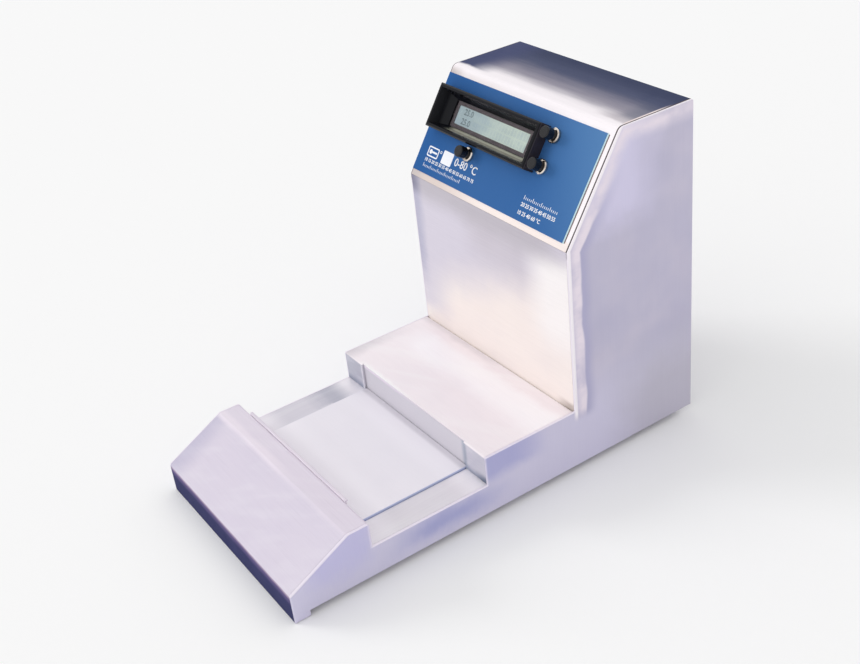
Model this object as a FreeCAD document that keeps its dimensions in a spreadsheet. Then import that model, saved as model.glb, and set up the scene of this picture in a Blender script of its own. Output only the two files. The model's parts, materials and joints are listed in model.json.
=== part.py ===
import FreeCAD, Part
import math
import os
import re

import Sketcher
from FreeCAD import Placement, Rotation, Vector

# Bench thermal conditioner: a folded steel case with a heated plate in a well and a sloped display head.
# Sizes are millimetres. X runs to the user's right, Y from the nose to the rear, Z up from the bench.

# Driving dimensions, one cell each
SIZES = {
    # Case, as seen from the side
    "case_width": 203.0,
    "case_length": 385.0,
    "case_height": 276.8,
    "wall": 1.5,
    "seam": 0.25,
    "bend_radius": 2.5,
    "edge_bend": 1.6,
    "fold_radius": 6.0,
    "edge_share": 0.667,
    "flange": 12.0,
    "foot_height": 5.3,
    "toe_gap": 0.5,
    "toe_tab": 13.2,
    "toe_height": 26.3,
    "ridge_front": 51.0,
    "ridge_rear": 69.6,
    "ridge_height": 53.3,
    "rail_height": 31.9,
    "step_front": 173.1,
    "deck_height": 57.6,
    "deck_flange": 10.0,
    "head_depth": 124.4,
    "panel_rise": 80.3,
    "panel_tilt": 33.5,
    "rear_recess": 10.0,
    "rear_hem": 8.0,
    # Lip behind the nose ridge
    "lip_x": -7.0,
    "lip_width": 150.0,
    "lip_reach": 2.6,
    "lip_thick": 1.2,
    "lip_leg": 8.0,
    # Heated plate and what lies under it
    "plate_width": 146.0,
    "plate_thick": 6.35,
    "plate_proud": 1.5,
    "plate_gap": 0.5,
    "plate_corner": 2.0,
    "plate_chamfer": 0.3,
    "mat_thick": 1.5,
    "pad_thick": 5.0,
    "stud_radius": 2.0,
    "stud_inset": 14.0,
    "stud_depth": 4.0,
    "stud_tail": 5.0,
    "thread_gap": 0.1,
    "sensor_radius": 1.5,
    "sensor_length": 28.0,
    "sensor_gap": 0.15,
    "sensor_x": 45.0,
    "sensor_stub": 2.0,
    "crimp_radius": 1.95,
    "crimp_length": 1.2,
    "cutout_radius": 7.5,
    "cutout_neck": 5.0,
    "cutout_drop": 5.0,
    "cutout_gap": 0.6,
    # Control face
    "overlay_thick": 0.5,
    "overlay_left": 1.2,
    "overlay_right": 8.7,
    "overlay_low": 5.0,
    "overlay_high": 7.0,
    "display_x": -27.2,
    "display_share": 0.623,
    "bezel_shift": -1.0,
    "bezel_lift": 0.5,
    "bezel_side": 15.5,
    "bezel_end": 7.5,
    "bezel_depth": 11.0,
    "bezel_rim": 2.0,
    "bezel_chamfer": 1.2,
    "crease_side": 3.0,
    "crease_end": 2.2,
    "crease_lift": 2.0,
    "funnel_floor": 1.0,
    "opening_width": 98.0,
    "opening_height": 22.0,
    "neck_wall": 2.5,
    "neck_depth": 2.0,
    "neck_gap": 0.3,
    "window_thick": 1.0,
    "window_gap": 0.1,
    "view_border_side": 3.5,
    "view_border_end": 3.4,
    "frame_gap": 0.3,
    "frame_depth": 6.5,
    "frame_lip": 0.8,
    "glass_margin": 1.5,
    "glass_thick": 2.2,
    "glass_gap": 0.1,
    "lcd_board_side": 10.0,
    "lcd_board_end": 6.0,
    "board_thick": 1.6,
    "lcd_hole_inset": 3.2,
    # Push buttons
    "button_side": 1.7,
    "button_share": 0.2544,
    "button_rise": 1.2,
    "button_left": 12.0,
    "button_drop": 1.6,
    "cap_radius": 4.75,
    "cap_wall": 0.85,
    "cap_front": 13.0,
    "cap_round": 1.0,
    "cap_lap": 2.0,
    "cap_gap": 0.3,
    "press_travel": 2.5,
    "stem_radius": 2.0,
    "stem_gap": 0.06,
    "stem_tail": 8.0,
    "bushing_radius": 3.5,
    "bushing_gap": 0.15,
    "nut_radius": 6.0,
    "nut_thick": 3.0,
    "nut_chamfer": 0.8,
    "washer_thick": 0.8,
    "switch_side": 12.5,
    "switch_depth": 14.0,
    "tab_width": 2.4,
    "tab_thick": 0.6,
    "tab_length": 5.0,
    # Feet and small screws
    "foot_radius": 9.0,
    "foot_taper": 1.5,
    "foot_inset_side": 22.0,
    "foot_inset_front": 34.0,
    "foot_inset_rear": 20.0,
    "foot_well": 2.8,
    "screw_radius": 1.75,
    "screw_gap": 0.15,
    "screw_head": 3.4,
    "screw_head_height": 1.9,
    "screw_length": 8.0,
    "slot_width": 0.8,
    "slot_depth": 1.0,
    "nut_across": 7.0,
    "nut_height": 2.8,
    "rear_screw_margin": 24.0,
    "base_screw_front": 150.0,
    "base_screw_inset": 55.0,
    # Power inlet with its fuse drawer
    "inlet_side": 33.0,
    "inlet_z": 95.0,
    "inlet_width": 28.0,
    "inlet_height": 32.0,
    "inlet_depth": 30.0,
    "inlet_flange": 3.0,
    "inlet_flange_over": 2.0,
    "inlet_screw_span": 40.0,
    "inlet_ear": 5.0,
    "inlet_gap": 0.3,
    "socket_width": 24.6,
    "socket_height": 16.6,
    "socket_depth": 17.0,
    "socket_rise": 6.0,
    "pin_width": 2.0,
    "pin_height": 4.0,
    "pin_span": 14.0,
    "pin_rise": 4.0,
    "pin_setback": 5.0,
    "pin_tail": 7.0,
    "drawer_width": 23.4,
    "drawer_height": 7.8,
    "drawer_length": 24.0,
    "drawer_drop": 9.5,
    "drawer_gap": 0.3,
    "drawer_wall": 1.0,
    "fuse_radius": 2.5,
    "fuse_length": 20.0,
    "fuse_glass": 2.3,
    "fuse_cap": 5.0,
    # Power rocker
    "rocker_side": 50.0,
    "rocker_width": 10.0,
    "rocker_radius": 8.0,
    "rocker_gap": 0.3,
    "rocker_sink": 1.5,
    "rocker_dip": 3.6,
    "rocker_wall": 1.5,
    "rocker_flange": 1.8,
    "rocker_flange_over": 1.3,
    "rocker_tilt": 9.0,
    "rocker_pin": 1.0,
    "rocker_pin_gap": 0.05,
    "rocker_pin_length": 1.0,
    # Fan
    "fan_inset": 48.0,
    "fan_drop": 61.8,
    "fan_side": 40.0,
    "fan_depth": 20.0,
    "fan_bore": 18.7,
    "fan_hole_span": 32.0,
    "fan_tip": 18.0,
    "fan_hub": 9.5,
    "fan_strut": 3.0,
    "fan_shaft": 1.5,
    "fan_shaft_gap": 0.05,
    "fan_face_gap": 1.5,
    "blade_thick": 1.2,
    "blade_chord": 11.0,
    "blade_pitch": 38.0,
    "guard_wire": 0.8,
    "guard_step": 5.5,
    "vent_width": 3.0,
    "vent_length": 30.0,
    "vent_pitch": 8.0,
    "vent_inset": 33.0,
    # Electronics on the base plate
    "board_side": 1.0,
    "board_setback": 19.4,
    "board_middle": 1.0,
    "board_length": 80.0,
    "board_lift": 12.0,
    "board_hole_inset": 4.0,
    "standoff_radius": 3.0,
    "standoff_wall": 1.0,
    "chip_width": 18.0,
    "chip_length": 36.0,
    "chip_height": 4.0,
    "chip_setback": 18.4,
    "header_width": 27.0,
    "header_length": 7.0,
    "header_height": 8.0,
    "block_width": 30.0,
    "block_length": 10.0,
    "block_height": 11.0,
    "relay_width": 22.0,
    "relay_length": 16.0,
    "relay_height": 18.0,
    "relay_setback": 12.0,
    "ribbon_width": 24.0,
    "ribbon_thick": 1.0,
    "ribbon_drop": 14.0,
    "ribbon_shift": 6.5,
    "supply_side": 1.0,
    "supply_setback": 8.4,
    "supply_middle": 11.0,
    "supply_length": 70.0,
    "supply_height": 36.0,
    "supply_boss": 5.0,
    "core_width": 34.0,
    "core_length": 30.0,
    "core_height": 24.0,
    "coil_margin": 4.0,
    "capacitor_radius": 8.0,
    "capacitor_height": 22.0,
    "capacitor_pitch": 20.8,
    "cable_radius": 2.2,
    "cable_bend": 6.0,
    "cable_side": 18.0,
    "cable_gap": 0.6,
    "cable_clear": 3.0,
}

# Counts
BLADES = 7
VENTS = 6
GUARD_RINGS = 3

# Places worked out from the sizes
PLACES = {
    "front": "-case_length/2",
    "base_top": "foot_height + wall",
    "inner_half": "case_width/2 - wall",
    "skin_half": "case_width/2 - wall - seam",
    "rear_face": "case_length - rear_recess",
    "rear_inside": "rear_face - wall",
    "head_front": "case_length - head_depth",
    "kink_height": "case_height - panel_rise",
    "fold_y": "head_front + panel_rise*tan(panel_tilt)",
    "panel_run": "panel_rise/cos(panel_tilt)",
    "cheek_gap": "seam + 0.3*(edge_bend - wall)",
    "step_back": "step_front + wall + cheek_gap",
    "plate_top": "rail_height + plate_proud",
    "plate_bottom": "plate_top - plate_thick",
    "mat_bottom": "plate_bottom - mat_thick",
    "floor_top": "mat_bottom - pad_thick",
    "floor_bottom": "floor_top - wall",
    "pan_half": "plate_width/2 + plate_gap",
    "plate_front": "ridge_rear + lip_reach + plate_gap",
    "plate_rear": "step_back - seam",
    "plate_middle": "(plate_front + plate_rear)/2",
    "stud_x": "plate_width/2 - stud_inset",
    "display_rise": "display_share*panel_run",
    "bezel_width": "opening_width + 2*bezel_side",
    "bezel_height": "opening_height + 2*bezel_end",
    "view_width": "opening_width - 2*view_border_side",
    "view_height": "opening_height - 2*view_border_end",
    "lcd_board_width": "opening_width + 2*lcd_board_side",
    "lcd_board_height": "opening_height + 2*lcd_board_end",
    "neck_half_width": "opening_width/2 + neck_wall",
    "neck_half_height": "opening_height/2 + neck_wall",
    "window_back": "overlay_thick + funnel_floor - window_thick - seam",
    "frame_front": "window_back - window_gap",
    "frame_back": "frame_front - frame_depth",
    "lcd_board_back": "frame_back - board_thick",
    "nut_top": "overlay_thick + nut_thick",
    "skirt_bottom": "nut_top + press_travel + cap_gap",
    "bushing_top": "skirt_bottom + cap_lap",
    "cap_ceiling": "bushing_top + press_travel + cap_gap",
    "switch_top": "-wall - washer_thick",
    "stem_bottom": "switch_top - stem_tail",
    "bezel_x": "display_x + bezel_shift",
    "bezel_rise": "display_rise + bezel_lift",
    "mouth_width": "bezel_width - 2*bezel_rim - 2*bezel_chamfer",
    "mouth_height": "bezel_height - 2*bezel_rim - 2*bezel_chamfer",
    "button_x": "bezel_x + bezel_width/2 + nut_radius + button_side",
    "button_low": "bezel_rise - bezel_height/2 - nut_radius - button_drop",
    "button_pitch": "button_share*panel_run",
    "foot_x": "case_width/2 - foot_inset_side",
    "foot_rear": "case_length - foot_inset_rear",
    "flange_x": "inner_half - flange/2",
    "flange_bottom": "base_top + seam",
    "rear_screw_low": "base_top + rear_screw_margin",
    "rear_screw_high": "case_height - rear_screw_margin",
    "rear_screw_mid": "(rear_screw_low + rear_screw_high)/2",
    "base_screw_rear": "case_length - base_screw_inset",
    "inlet_x": "inner_half - flange - inlet_side",
    "rocker_x": "inlet_x - rocker_side",
    "fan_x": "inner_half - flange - fan_inset",
    "fan_z": "case_height - fan_drop",
    "vent_x": "-(inner_half - flange - vent_inset)",
    "socket_z": "inlet_z + socket_rise",
    "drawer_z": "inlet_z - drawer_drop",
    "rocker_half": "rocker_radius + rocker_gap + rocker_wall",
    "rocker_half_width": "rocker_width/2 + rocker_gap + rocker_wall",
    "rocker_depth": "rocker_radius + rocker_gap + rocker_sink + rocker_wall",
    "board_width": "inner_half - flange - board_side - board_middle",
    "board_x": "-board_middle - board_width/2",
    "board_y": "head_front + board_setback + board_length/2",
    "board_bottom": "base_top + board_lift",
    "board_top": "board_bottom + board_thick",
    "board_front": "board_y - board_length/2",
    "supply_width": "inner_half - flange - supply_side - supply_middle",
    "supply_x": "supply_middle + supply_width/2",
    "supply_y": "head_front + supply_setback + supply_length/2",
    "cable_x": "board_x - cable_side",
    "supply_floor": "base_top + wall",
    "supply_board_top": "supply_floor + supply_boss + board_thick",
    "ribbon_x": "display_x + ribbon_shift",
    "ribbon_rise": "display_rise - ribbon_drop",
    "ribbon_y": "head_front + ribbon_rise*sin(panel_tilt) - lcd_board_back*cos(panel_tilt)",
    "ribbon_top": "kink_height + ribbon_rise*cos(panel_tilt) + lcd_board_back*sin(panel_tilt)",
    "ribbon_slant": "ribbon_thick/2/tan(panel_tilt)",
}

# Where the three push buttons stand on the control face: across, and up from the fold below it
BUTTONS = {
    "upper": ("button_x", "display_rise + button_rise + button_pitch/2"),
    "lower": ("button_x", "display_rise + button_rise - button_pitch/2"),
    "left": ("display_x - button_left", "button_low"),
}

# Frames that pieces are drawn in: the Y and Z of their origin, and whether they lean with the control face
FRAMES = {
    "case": ("front", "0", False),
    "panel": ("front + head_front", "kink_height", True),
    "rear": ("front + rear_face", "0", False),
}

TINY = 1e-4
START_RADIUS = 50.0
WORD = re.compile(r"[A-Za-z_]\w*")
SUBPARTS = []

doc = FreeCAD.newDocument("bench_thermal_conditioner")
sheet = doc.addObject("Spreadsheet::Sheet", "Sheet")
for row, (alias, size) in enumerate(SIZES.items(), 1):
    sheet.set(f"A{row}", alias)
    sheet.set(f"B{row}", str(size))
    sheet.setAlias(f"B{row}", alias)
doc.recompute()


# Formulas and placing

def formula(text):
    """Write a formula of named sizes and places as an expression on the sheet's cells."""
    def swap(match):
        word = match.group(0)
        if word in PLACES:
            return f"({formula(PLACES[word])})"
        return f"Sheet.{word}" if word in SIZES else word
    return WORD.sub(swap, str(text))


def bind(item, formulas):
    """Tie an object's properties to formulas."""
    for name, text in formulas.items():
        item.setExpression(name, formula(text))


def put(item, x, y, z):
    """Tie an object's position to three formulas."""
    bind(item, {"Placement.Base.x": x, "Placement.Base.y": y, "Placement.Base.z": z})


def settle(item, label, frame="case", x="0"):
    """Name a finished sub-part and place it in one of the frames."""
    y, z, leans = FRAMES[frame]
    if leans:
        item.Placement = Placement(Vector(), Rotation(Vector(1, 0, 0), 45))
        bind(item, {"Placement.Rotation.Angle": "90 - panel_tilt"})
    put(item, x, y, z)
    item.Label = label
    SUBPARTS.append(item)
    return item


# Part primitives

def block(low, size):
    """A box from its low corner and its three sizes."""
    item = doc.addObject("Part::Box", "Block")
    bind(item, dict(zip(("Length", "Width", "Height"), size)))
    put(item, *low)
    return item


TURNS = {
    "up": Rotation(),
    "down": Rotation(Vector(1, 0, 0), 180),
    "inward": Rotation(Vector(1, 0, 0), 90),
    "outward": Rotation(Vector(1, 0, 0), -90),
    "across": Rotation(Vector(0, 1, 0), 90),
}


def rod(base, radius, length, way="up"):
    """A cylinder from the centre of its start face, pointing one of the named ways."""
    item = doc.addObject("Part::Cylinder", "Rod")
    item.Placement = Placement(Vector(), TURNS[way])
    bind(item, {"Radius": radius, "Height": length})
    put(item, *base)
    return item


def taper(base, start_radius, end_radius, length):
    """An upright cone frustum from the centre of its start face."""
    item = doc.addObject("Part::Cone", "Taper")
    bind(item, {"Radius1": start_radius, "Radius2": end_radius, "Height": length})
    put(item, *base)
    return item


def cut(base, *tools):
    """Take tools away from a base."""
    item = doc.addObject("Part::Cut", "Cut")
    item.Base = base
    item.Tool = tools[0] if len(tools) == 1 else fuse(*tools)
    return item


def fuse(*shapes):
    """Join shapes to one solid."""
    item = doc.addObject("Part::MultiFuse", "Join")
    item.Shapes = list(shapes)
    return item


def group(shapes):
    """Keep separate solids together as one object."""
    item = doc.addObject("Part::Compound", "Group")
    item.Links = list(shapes)
    return item


def pan_screw(base, length, way):
    """A pan head screw: its head's underside at the base, its shank pointing one of the named ways."""
    shank = rod(("0", "0", "0"), "screw_radius", length)
    head = rod(("0", "0", "-screw_head_height"), "screw_head", "screw_head_height")
    slots = []
    for long_x in (True, False):
        sizes = ("screw_head", "slot_width") if long_x else ("slot_width", "screw_head")
        low = [f"-{size}/2" for size in sizes]
        slots.append(block((*low, "-screw_head_height"), (*sizes, "slot_depth")))
    item = cut(fuse(shank, head), *slots)
    item.Placement = Placement(Vector(), TURNS[way])
    put(item, *base)
    return item


def hex_nut(base, bore):
    """A plain hexagon nut standing on its base point, round a shank of the bore's radius."""
    body = doc.addObject("Part::Prism", "Hexagon")
    body.Polygon = 6
    bind(body, {"Circumradius": "nut_across/2/cos(30)", "Height": "nut_height"})
    put(body, *base)
    x, y, z = base
    return cut(body, rod((x, y, f"{z} - nut_height"), f"{bore} + thread_gap", "3*nut_height"))


# Sketches and body features

def new_body(label, frame="case", x="0"):
    """An empty body, named and placed."""
    return settle(doc.addObject("PartDesign::Body", "Body"), label, frame, x)


def rectangle(low_u, low_v, high_u, high_v):
    """Corners of an upright rectangle."""
    return [(low_u, low_v), (high_u, low_v), (high_u, high_v), (low_u, high_v)]


def centred(u, v, width, height):
    """Corners of a rectangle about its centre."""
    return rectangle(f"{u} - ({width})/2", f"{v} - ({height})/2", f"{u} + ({width})/2", f"{v} + ({height})/2")


def fix_point(drawing, geometry, end, u, v, start):
    """Tie one point of a sketch to two formulas."""
    for kind, text, value in (("DistanceX", u, start.x), ("DistanceY", v, start.y)):
        number = drawing.addConstraint(Sketcher.Constraint(kind, -1, 1, geometry, end, value))
        drawing.setExpression(f"Constraints[{number}]", formula(text))


def draw_polygon(drawing, corners):
    """Add a closed loop of straight lines through corners given as formulas."""
    count = len(corners)
    turns = [2*math.pi*step/count for step in range(count)]
    starts = [Vector(START_RADIUS*math.cos(turn), START_RADIUS*math.sin(turn), 0) for turn in turns]
    first = drawing.GeometryCount
    for step in range(count):
        drawing.addGeometry(Part.LineSegment(starts[step], starts[(step + 1) % count]))
    for step in range(count):
        follower = first + (step + 1) % count
        drawing.addConstraint(Sketcher.Constraint("Coincident", first + step, 2, follower, 1))
    for step, corner in enumerate(corners):
        fix_point(drawing, first + step, 1, *corner[:2], starts[step])


def draw_circle(drawing, u, v, radius):
    """Add a circle given as formulas."""
    start = Vector(START_RADIUS, START_RADIUS, 0)
    number = drawing.addGeometry(Part.Circle(start, Vector(0, 0, 1), 1.0))
    fix_point(drawing, number, 3, u, v, start)
    bound = drawing.addConstraint(Sketcher.Constraint("Radius", number, 1.0))
    drawing.setExpression(f"Constraints[{bound}]", formula(radius))


def sketch(body, plane, loops, lift="0", on_slope=False):
    """A sketch on one of the body's own planes; a loop of three formulas is a circle."""
    drawing = body.newObject("Sketcher::SketchObject", "Outline")
    support = [item for item in body.Origin.OriginFeatures if item.Role == f"{plane}_Plane"][0]
    drawing.AttachmentSupport = (support, [""])
    drawing.MapMode = "FlatFace"
    if on_slope:
        drawing.AttachmentOffset = Placement(Vector(), Rotation(Vector(1, 0, 0), 45))
        bind(drawing, {
            "AttachmentOffset.Rotation.Angle": "90 - panel_tilt",
            "AttachmentOffset.Base.y": "head_front",
            "AttachmentOffset.Base.z": "kink_height",
        })
    else:
        bind(drawing, {"AttachmentOffset.Base.z": lift})
    for loop in loops:
        if isinstance(loop, tuple):
            draw_circle(drawing, *loop)
        else:
            draw_polygon(drawing, loop)
    return drawing


def extrude(body, kind, drawing, length, both=False, reverse=False):
    """A pad or pocket of a sketch."""
    item = body.newObject(f"PartDesign::{kind}", kind)
    item.Profile = drawing
    item.Midplane = both
    item.Reversed = reverse
    bind(item, {"Length": length})
    return item


def pad(body, drawing, length, both=False, reverse=False):
    """Grow a sketch along its normal."""
    return extrude(body, "Pad", drawing, length, both, reverse)


def pocket(body, drawing, length, both=False, reverse=False):
    """Cut a sketch against its normal."""
    return extrude(body, "Pocket", drawing, length, both, reverse)


def turn_solid(body, corners):
    """Turn a half section, given as radius and height, about the body's Z axis."""
    drawing = sketch(body, "XZ", [corners])
    item = body.newObject("PartDesign::Revolution", "Turned")
    item.Profile = drawing
    item.ReferenceAxis = (drawing, ["V_Axis"])
    item.Angle = 360
    return item


def soften(body, kind, base, names, size):
    """A fillet or chamfer of named edges."""
    item = body.newObject(f"PartDesign::{kind}", kind)
    item.Base = (base, names)
    bind(item, {"Radius" if kind == "Fillet" else "Size": size})
    doc.recompute()
    return item


def edge_names(feature, test):
    """Names of a feature's edges that pass a test."""
    return [f"Edge{number}" for number, edge in enumerate(feature.Shape.Edges, 1) if test(edge)]


def corner_edges(feature, drawing, corners):
    """Names of the edges that run along the extrusion at some of the sketch's corners."""
    doc.recompute()
    along = drawing.Placement.Rotation.multVec(Vector(0, 0, 1))
    points = [drawing.Placement.multVec(drawing.Geometry[corner].StartPoint) for corner in corners]

    def runs_there(edge):
        start, end = edge.Vertexes[0].Point, edge.Vertexes[-1].Point
        if (end - start).cross(along).Length > TINY:
            return False
        return any((start - point).cross(along).Length < TINY for point in points)

    return edge_names(feature, runs_there)


def rim_edges(feature, axis, at_top):
    """Names of the edges that lie in the feature's highest or lowest plane along an axis."""
    doc.recompute()
    bound = getattr(feature.Shape.BoundBox, f"{axis}{'Max' if at_top else 'Min'}")

    def lies_there(edge):
        box = edge.BoundBox
        return all(abs(getattr(box, f"{axis}{end}") - bound) < TINY for end in ("Min", "Max"))

    return edge_names(feature, lies_there)


def bend_corners(body, feature, drawing, outline):
    """Round the corners of an extruded outline that name a bend, one radius at a time."""
    for radius in sorted({corner[2] for corner in outline if len(corner) > 2}):
        corners = [number for number, corner in enumerate(outline) if corner[2:] == (radius,)]
        feature = soften(body, "Fillet", feature, corner_edges(feature, drawing, corners), radius)
    return feature


def fold_sheet(label, outline, open_sides):
    """Make a folded sheet, as wide as fits between the side panels, from the outline of its outside.

    The outline's sides are numbered from its first corner, and open_sides are those without metal.
    """
    body = new_body(label)
    drawing = sketch(body, "YZ", [outline])
    folded = bend_corners(body, pad(body, drawing, "2*skin_half", both=True), drawing, outline)
    middles = []
    for side in open_sides:
        line = drawing.Geometry[side]
        middles.append(Part.Vertex(drawing.Placement.multVec((line.StartPoint + line.EndPoint)*0.5)))
    box = folded.Shape.BoundBox
    names = []
    for number, face in enumerate(folded.Shape.Faces, 1):
        is_end = face.BoundBox.XLength < TINY and abs(abs(face.BoundBox.XMin) - box.XMax) < TINY
        if is_end or any(face.distToShape(middle)[0] < TINY for middle in middles):
            names.append(f"Face{number}")
    shell = body.newObject("PartDesign::Thickness", "Sheet")
    shell.Base = (folded, names)
    bind(shell, {"Value": "wall"})
    doc.recompute()
    return body


# Case

# Side outline from the toe up over the nose, well, deck and head; a corner's third word is its bend
SIDE_OUTLINE = [
    ("0", "toe_gap"),
    ("0", "toe_height", "bend_radius"),
    ("ridge_front", "ridge_height", "bend_radius"),
    ("ridge_rear", "ridge_height", "bend_radius"),
    ("ridge_rear", "rail_height"),
    ("step_front", "rail_height"),
    ("step_front", "deck_height", "edge_bend"),
    ("head_front", "deck_height"),
    ("head_front", "kink_height", "bend_radius"),
    ("fold_y", "case_height", "fold_radius"),
    ("case_length", "case_height", "bend_radius"),
    ("case_length", "foot_height"),
    ("toe_tab", "foot_height"),
    ("toe_tab", "toe_gap"),
]


def side_panel(label, is_right):
    """One side of the case: a sheet with the stepped outline and two screw flanges inside."""
    body = new_body(label, x="inner_half" if is_right else "-case_width/2")
    drawing = sketch(body, "YZ", [SIDE_OUTLINE])
    plate = bend_corners(body, pad(body, drawing, "wall"), drawing, SIDE_OUTLINE)
    soften(body, "Fillet", plate, rim_edges(plate, "X", is_right), "edge_share*wall")
    low_x, high_x = ("-flange", "wall/2") if is_right else ("wall/2", "wall + flange")
    hole_x = "-flange/2" if is_right else "wall + flange/2"
    hole = "screw_radius + screw_gap"
    bottom = [rectangle(low_x, "ridge_rear", high_x, "rear_inside - 2*wall")]
    bottom += [(hole_x, y, hole) for y in ("base_screw_front", "base_screw_rear")]
    pad(body, sketch(body, "XY", bottom, "flange_bottom"), "wall")
    rear = [rectangle(low_x, "flange_bottom + 2*wall", high_x, "case_height - 2*wall - bend_radius")]
    rear += [(hole_x, z, hole) for z in ("rear_screw_low", "rear_screw_mid", "rear_screw_high")]
    pad(body, sketch(body, "XZ", rear, "-rear_inside + seam"), "wall")


def nose_cover():
    """Front skirt, slope, ridge and rear drop of the nose, with a lip turned in under the skirt."""
    outline = SIDE_OUTLINE[:4] + [
        ("ridge_rear", "floor_bottom"),
        ("toe_tab", "floor_bottom"),
        ("toe_tab", "toe_gap"),
    ]
    fold_sheet("nose_cover", outline, [4, 5])


def nose_lip():
    """Angle strip behind the ridge that keeps the load from lifting."""
    body = new_body("nose_lip", x="lip_x")
    outline = [
        ("ridge_rear", "ridge_height - lip_leg"),
        ("ridge_rear", "ridge_height"),
        ("ridge_rear + lip_reach", "ridge_height"),
        ("ridge_rear + lip_reach", "ridge_height - lip_thick"),
        ("ridge_rear + lip_thick", "ridge_height - lip_thick"),
        ("ridge_rear + lip_thick", "ridge_height - lip_leg"),
    ]
    drawing = sketch(body, "YZ", [outline])
    strip = pad(body, drawing, "lip_width", both=True)
    soften(body, "Fillet", strip, corner_edges(strip, drawing, [2]), "lip_thick/2")


def stud_places():
    """The four places of the plate's studs."""
    return [
        (f"{side}*stud_x", y)
        for side in (-1, 1)
        for y in ("plate_front + stud_inset", "plate_rear - stud_inset")
    ]


def under_plate_holes():
    """Holes for the studs, the cut-out and the heater cable in what lies under the plate."""
    holes = [(x, y, "stud_radius + thread_gap") for x, y in stud_places()]
    holes.append(("0", "plate_middle", "cutout_radius + cutout_gap"))
    return holes


def cable_hole():
    """Hole for the heater cable."""
    return ("cable_x", "plate_middle", "cable_radius + cable_gap")


def well_pan():
    """The well's two rails and the sunk floor between them, one folded sheet."""
    body = new_body("well_pan")
    upper = [
        ("-skin_half", "rail_height"),
        ("-pan_half", "rail_height"),
        ("-pan_half", "floor_top"),
        ("pan_half", "floor_top"),
        ("pan_half", "rail_height"),
        ("skin_half", "rail_height"),
    ]
    lower = [
        ("skin_half", "rail_height - wall"),
        ("pan_half + wall", "rail_height - wall"),
        ("pan_half + wall", "floor_bottom"),
        ("-pan_half - wall", "floor_bottom"),
        ("-pan_half - wall", "rail_height - wall"),
        ("-skin_half", "rail_height - wall"),
    ]
    drawing = sketch(body, "XZ", [upper + lower], "-(step_back + flange)")
    pan = pad(body, drawing, "step_back + flange - ridge_rear - seam")
    soften(body, "Fillet", pan, corner_edges(pan, drawing, [1, 4]), "wall/2")
    holes = under_plate_holes() + [cable_hole()]
    pocket(body, sketch(body, "XY", holes, "floor_top + wall"), "3*wall")


def deck_cover():
    """The deck, its front face with the two corner blocks, and its rear flange."""
    outline = [
        ("step_front", "rail_height + seam"),
        ("step_front", "deck_height", "edge_bend"),
        ("head_front - seam", "deck_height", "bend_radius"),
        ("head_front - seam", "deck_height - deck_flange"),
    ]
    body = fold_sheet("deck_cover", outline, [3])
    notch = rectangle("-pan_half", "step_front - wall", "pan_half", "step_back")
    pocket(body, sketch(body, "XY", [notch], "deck_height + wall"), "deck_height - rail_height + 2*wall")


def step_panel():
    """Centre of the step: a flat sheet behind the notch between the two corner blocks."""
    body = new_body("step_panel")
    outline = rectangle("-pan_half - deck_flange", "step_back", "pan_half + deck_flange", "step_back + wall")
    drawing = sketch(body, "XY", [outline], "rail_height + seam")
    pad(body, drawing, "deck_height - rail_height - wall - seam - cheek_gap")


def head_front_panel():
    """Upright lower front of the head, with a flange turned in sharply at its top."""
    body = new_body("head_front_panel")
    outline = [
        ("head_front", "deck_height - deck_flange"),
        ("head_front", "kink_height - seam"),
        ("head_front + flange", "kink_height - seam"),
        ("head_front + flange", "kink_height - seam - wall"),
        ("head_front + wall", "kink_height - seam - wall"),
        ("head_front + wall", "deck_height - deck_flange"),
    ]
    pad(body, sketch(body, "YZ", [outline]), "2*skin_half", both=True)


def display_loop(clearance):
    """Outline of the bezel's neck with a clearance round it."""
    width = f"2*(neck_half_width + {clearance})"
    height = f"2*(neck_half_height + {clearance})"
    return centred("display_x", "display_rise", width, height)


def button_loops(radius):
    """A circle round each push button."""
    return [(x, rise, radius) for x, rise in BUTTONS.values()]


def head_cover():
    """Control face and top of the head, one folded sheet with the cut-outs of the controls."""
    outline = [
        ("head_front", "kink_height"),
        ("fold_y", "case_height", "fold_radius"),
        ("case_length", "case_height", "bend_radius"),
        ("case_length", "case_height - rear_hem"),
        ("head_front + flange", "kink_height"),
    ]
    body = fold_sheet("head_cover", outline, [3, 4])
    loops = [display_loop("neck_gap")] + button_loops("bushing_radius + bushing_gap")
    pocket(body, sketch(body, "XY", loops, on_slope=True), "4*wall", both=True)


def foot_places():
    """The four places of the feet."""
    return [(f"{side}*foot_x", y) for side in (-1, 1) for y in ("foot_inset_front", "foot_rear")]


def base_screw_places():
    """Where the base plate is screwed to the side panels."""
    return [(f"{side}*flange_x", y) for side in (-1, 1) for y in ("base_screw_front", "base_screw_rear")]


def base_plate():
    """Flat bottom of the case."""
    body = new_body("base_plate")
    loops = [rectangle("-skin_half", "toe_tab + seam", "skin_half", "rear_face")]
    loops += [(x, y, "screw_radius + screw_gap") for x, y in foot_places() + base_screw_places()]
    pad(body, sketch(body, "XY", loops, "foot_height"), "wall")


def rear_screw_places():
    """Where the rear panel is screwed to the side panels."""
    heights = ("rear_screw_low", "rear_screw_mid", "rear_screw_high")
    return [(f"{side}*flange_x", z) for side in (-1, 1) for z in heights]


def fan_hole_places():
    """The four screw places of the fan."""
    return [
        (f"fan_x + {across}*fan_hole_span/2", f"fan_z + {up}*fan_hole_span/2")
        for across in (-1, 1)
        for up in (-1, 1)
    ]


def inlet_screw_places():
    """The two screw places of the power inlet."""
    return [(f"inlet_x + {side}*inlet_screw_span/2", "inlet_z") for side in (-1, 1)]


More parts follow.
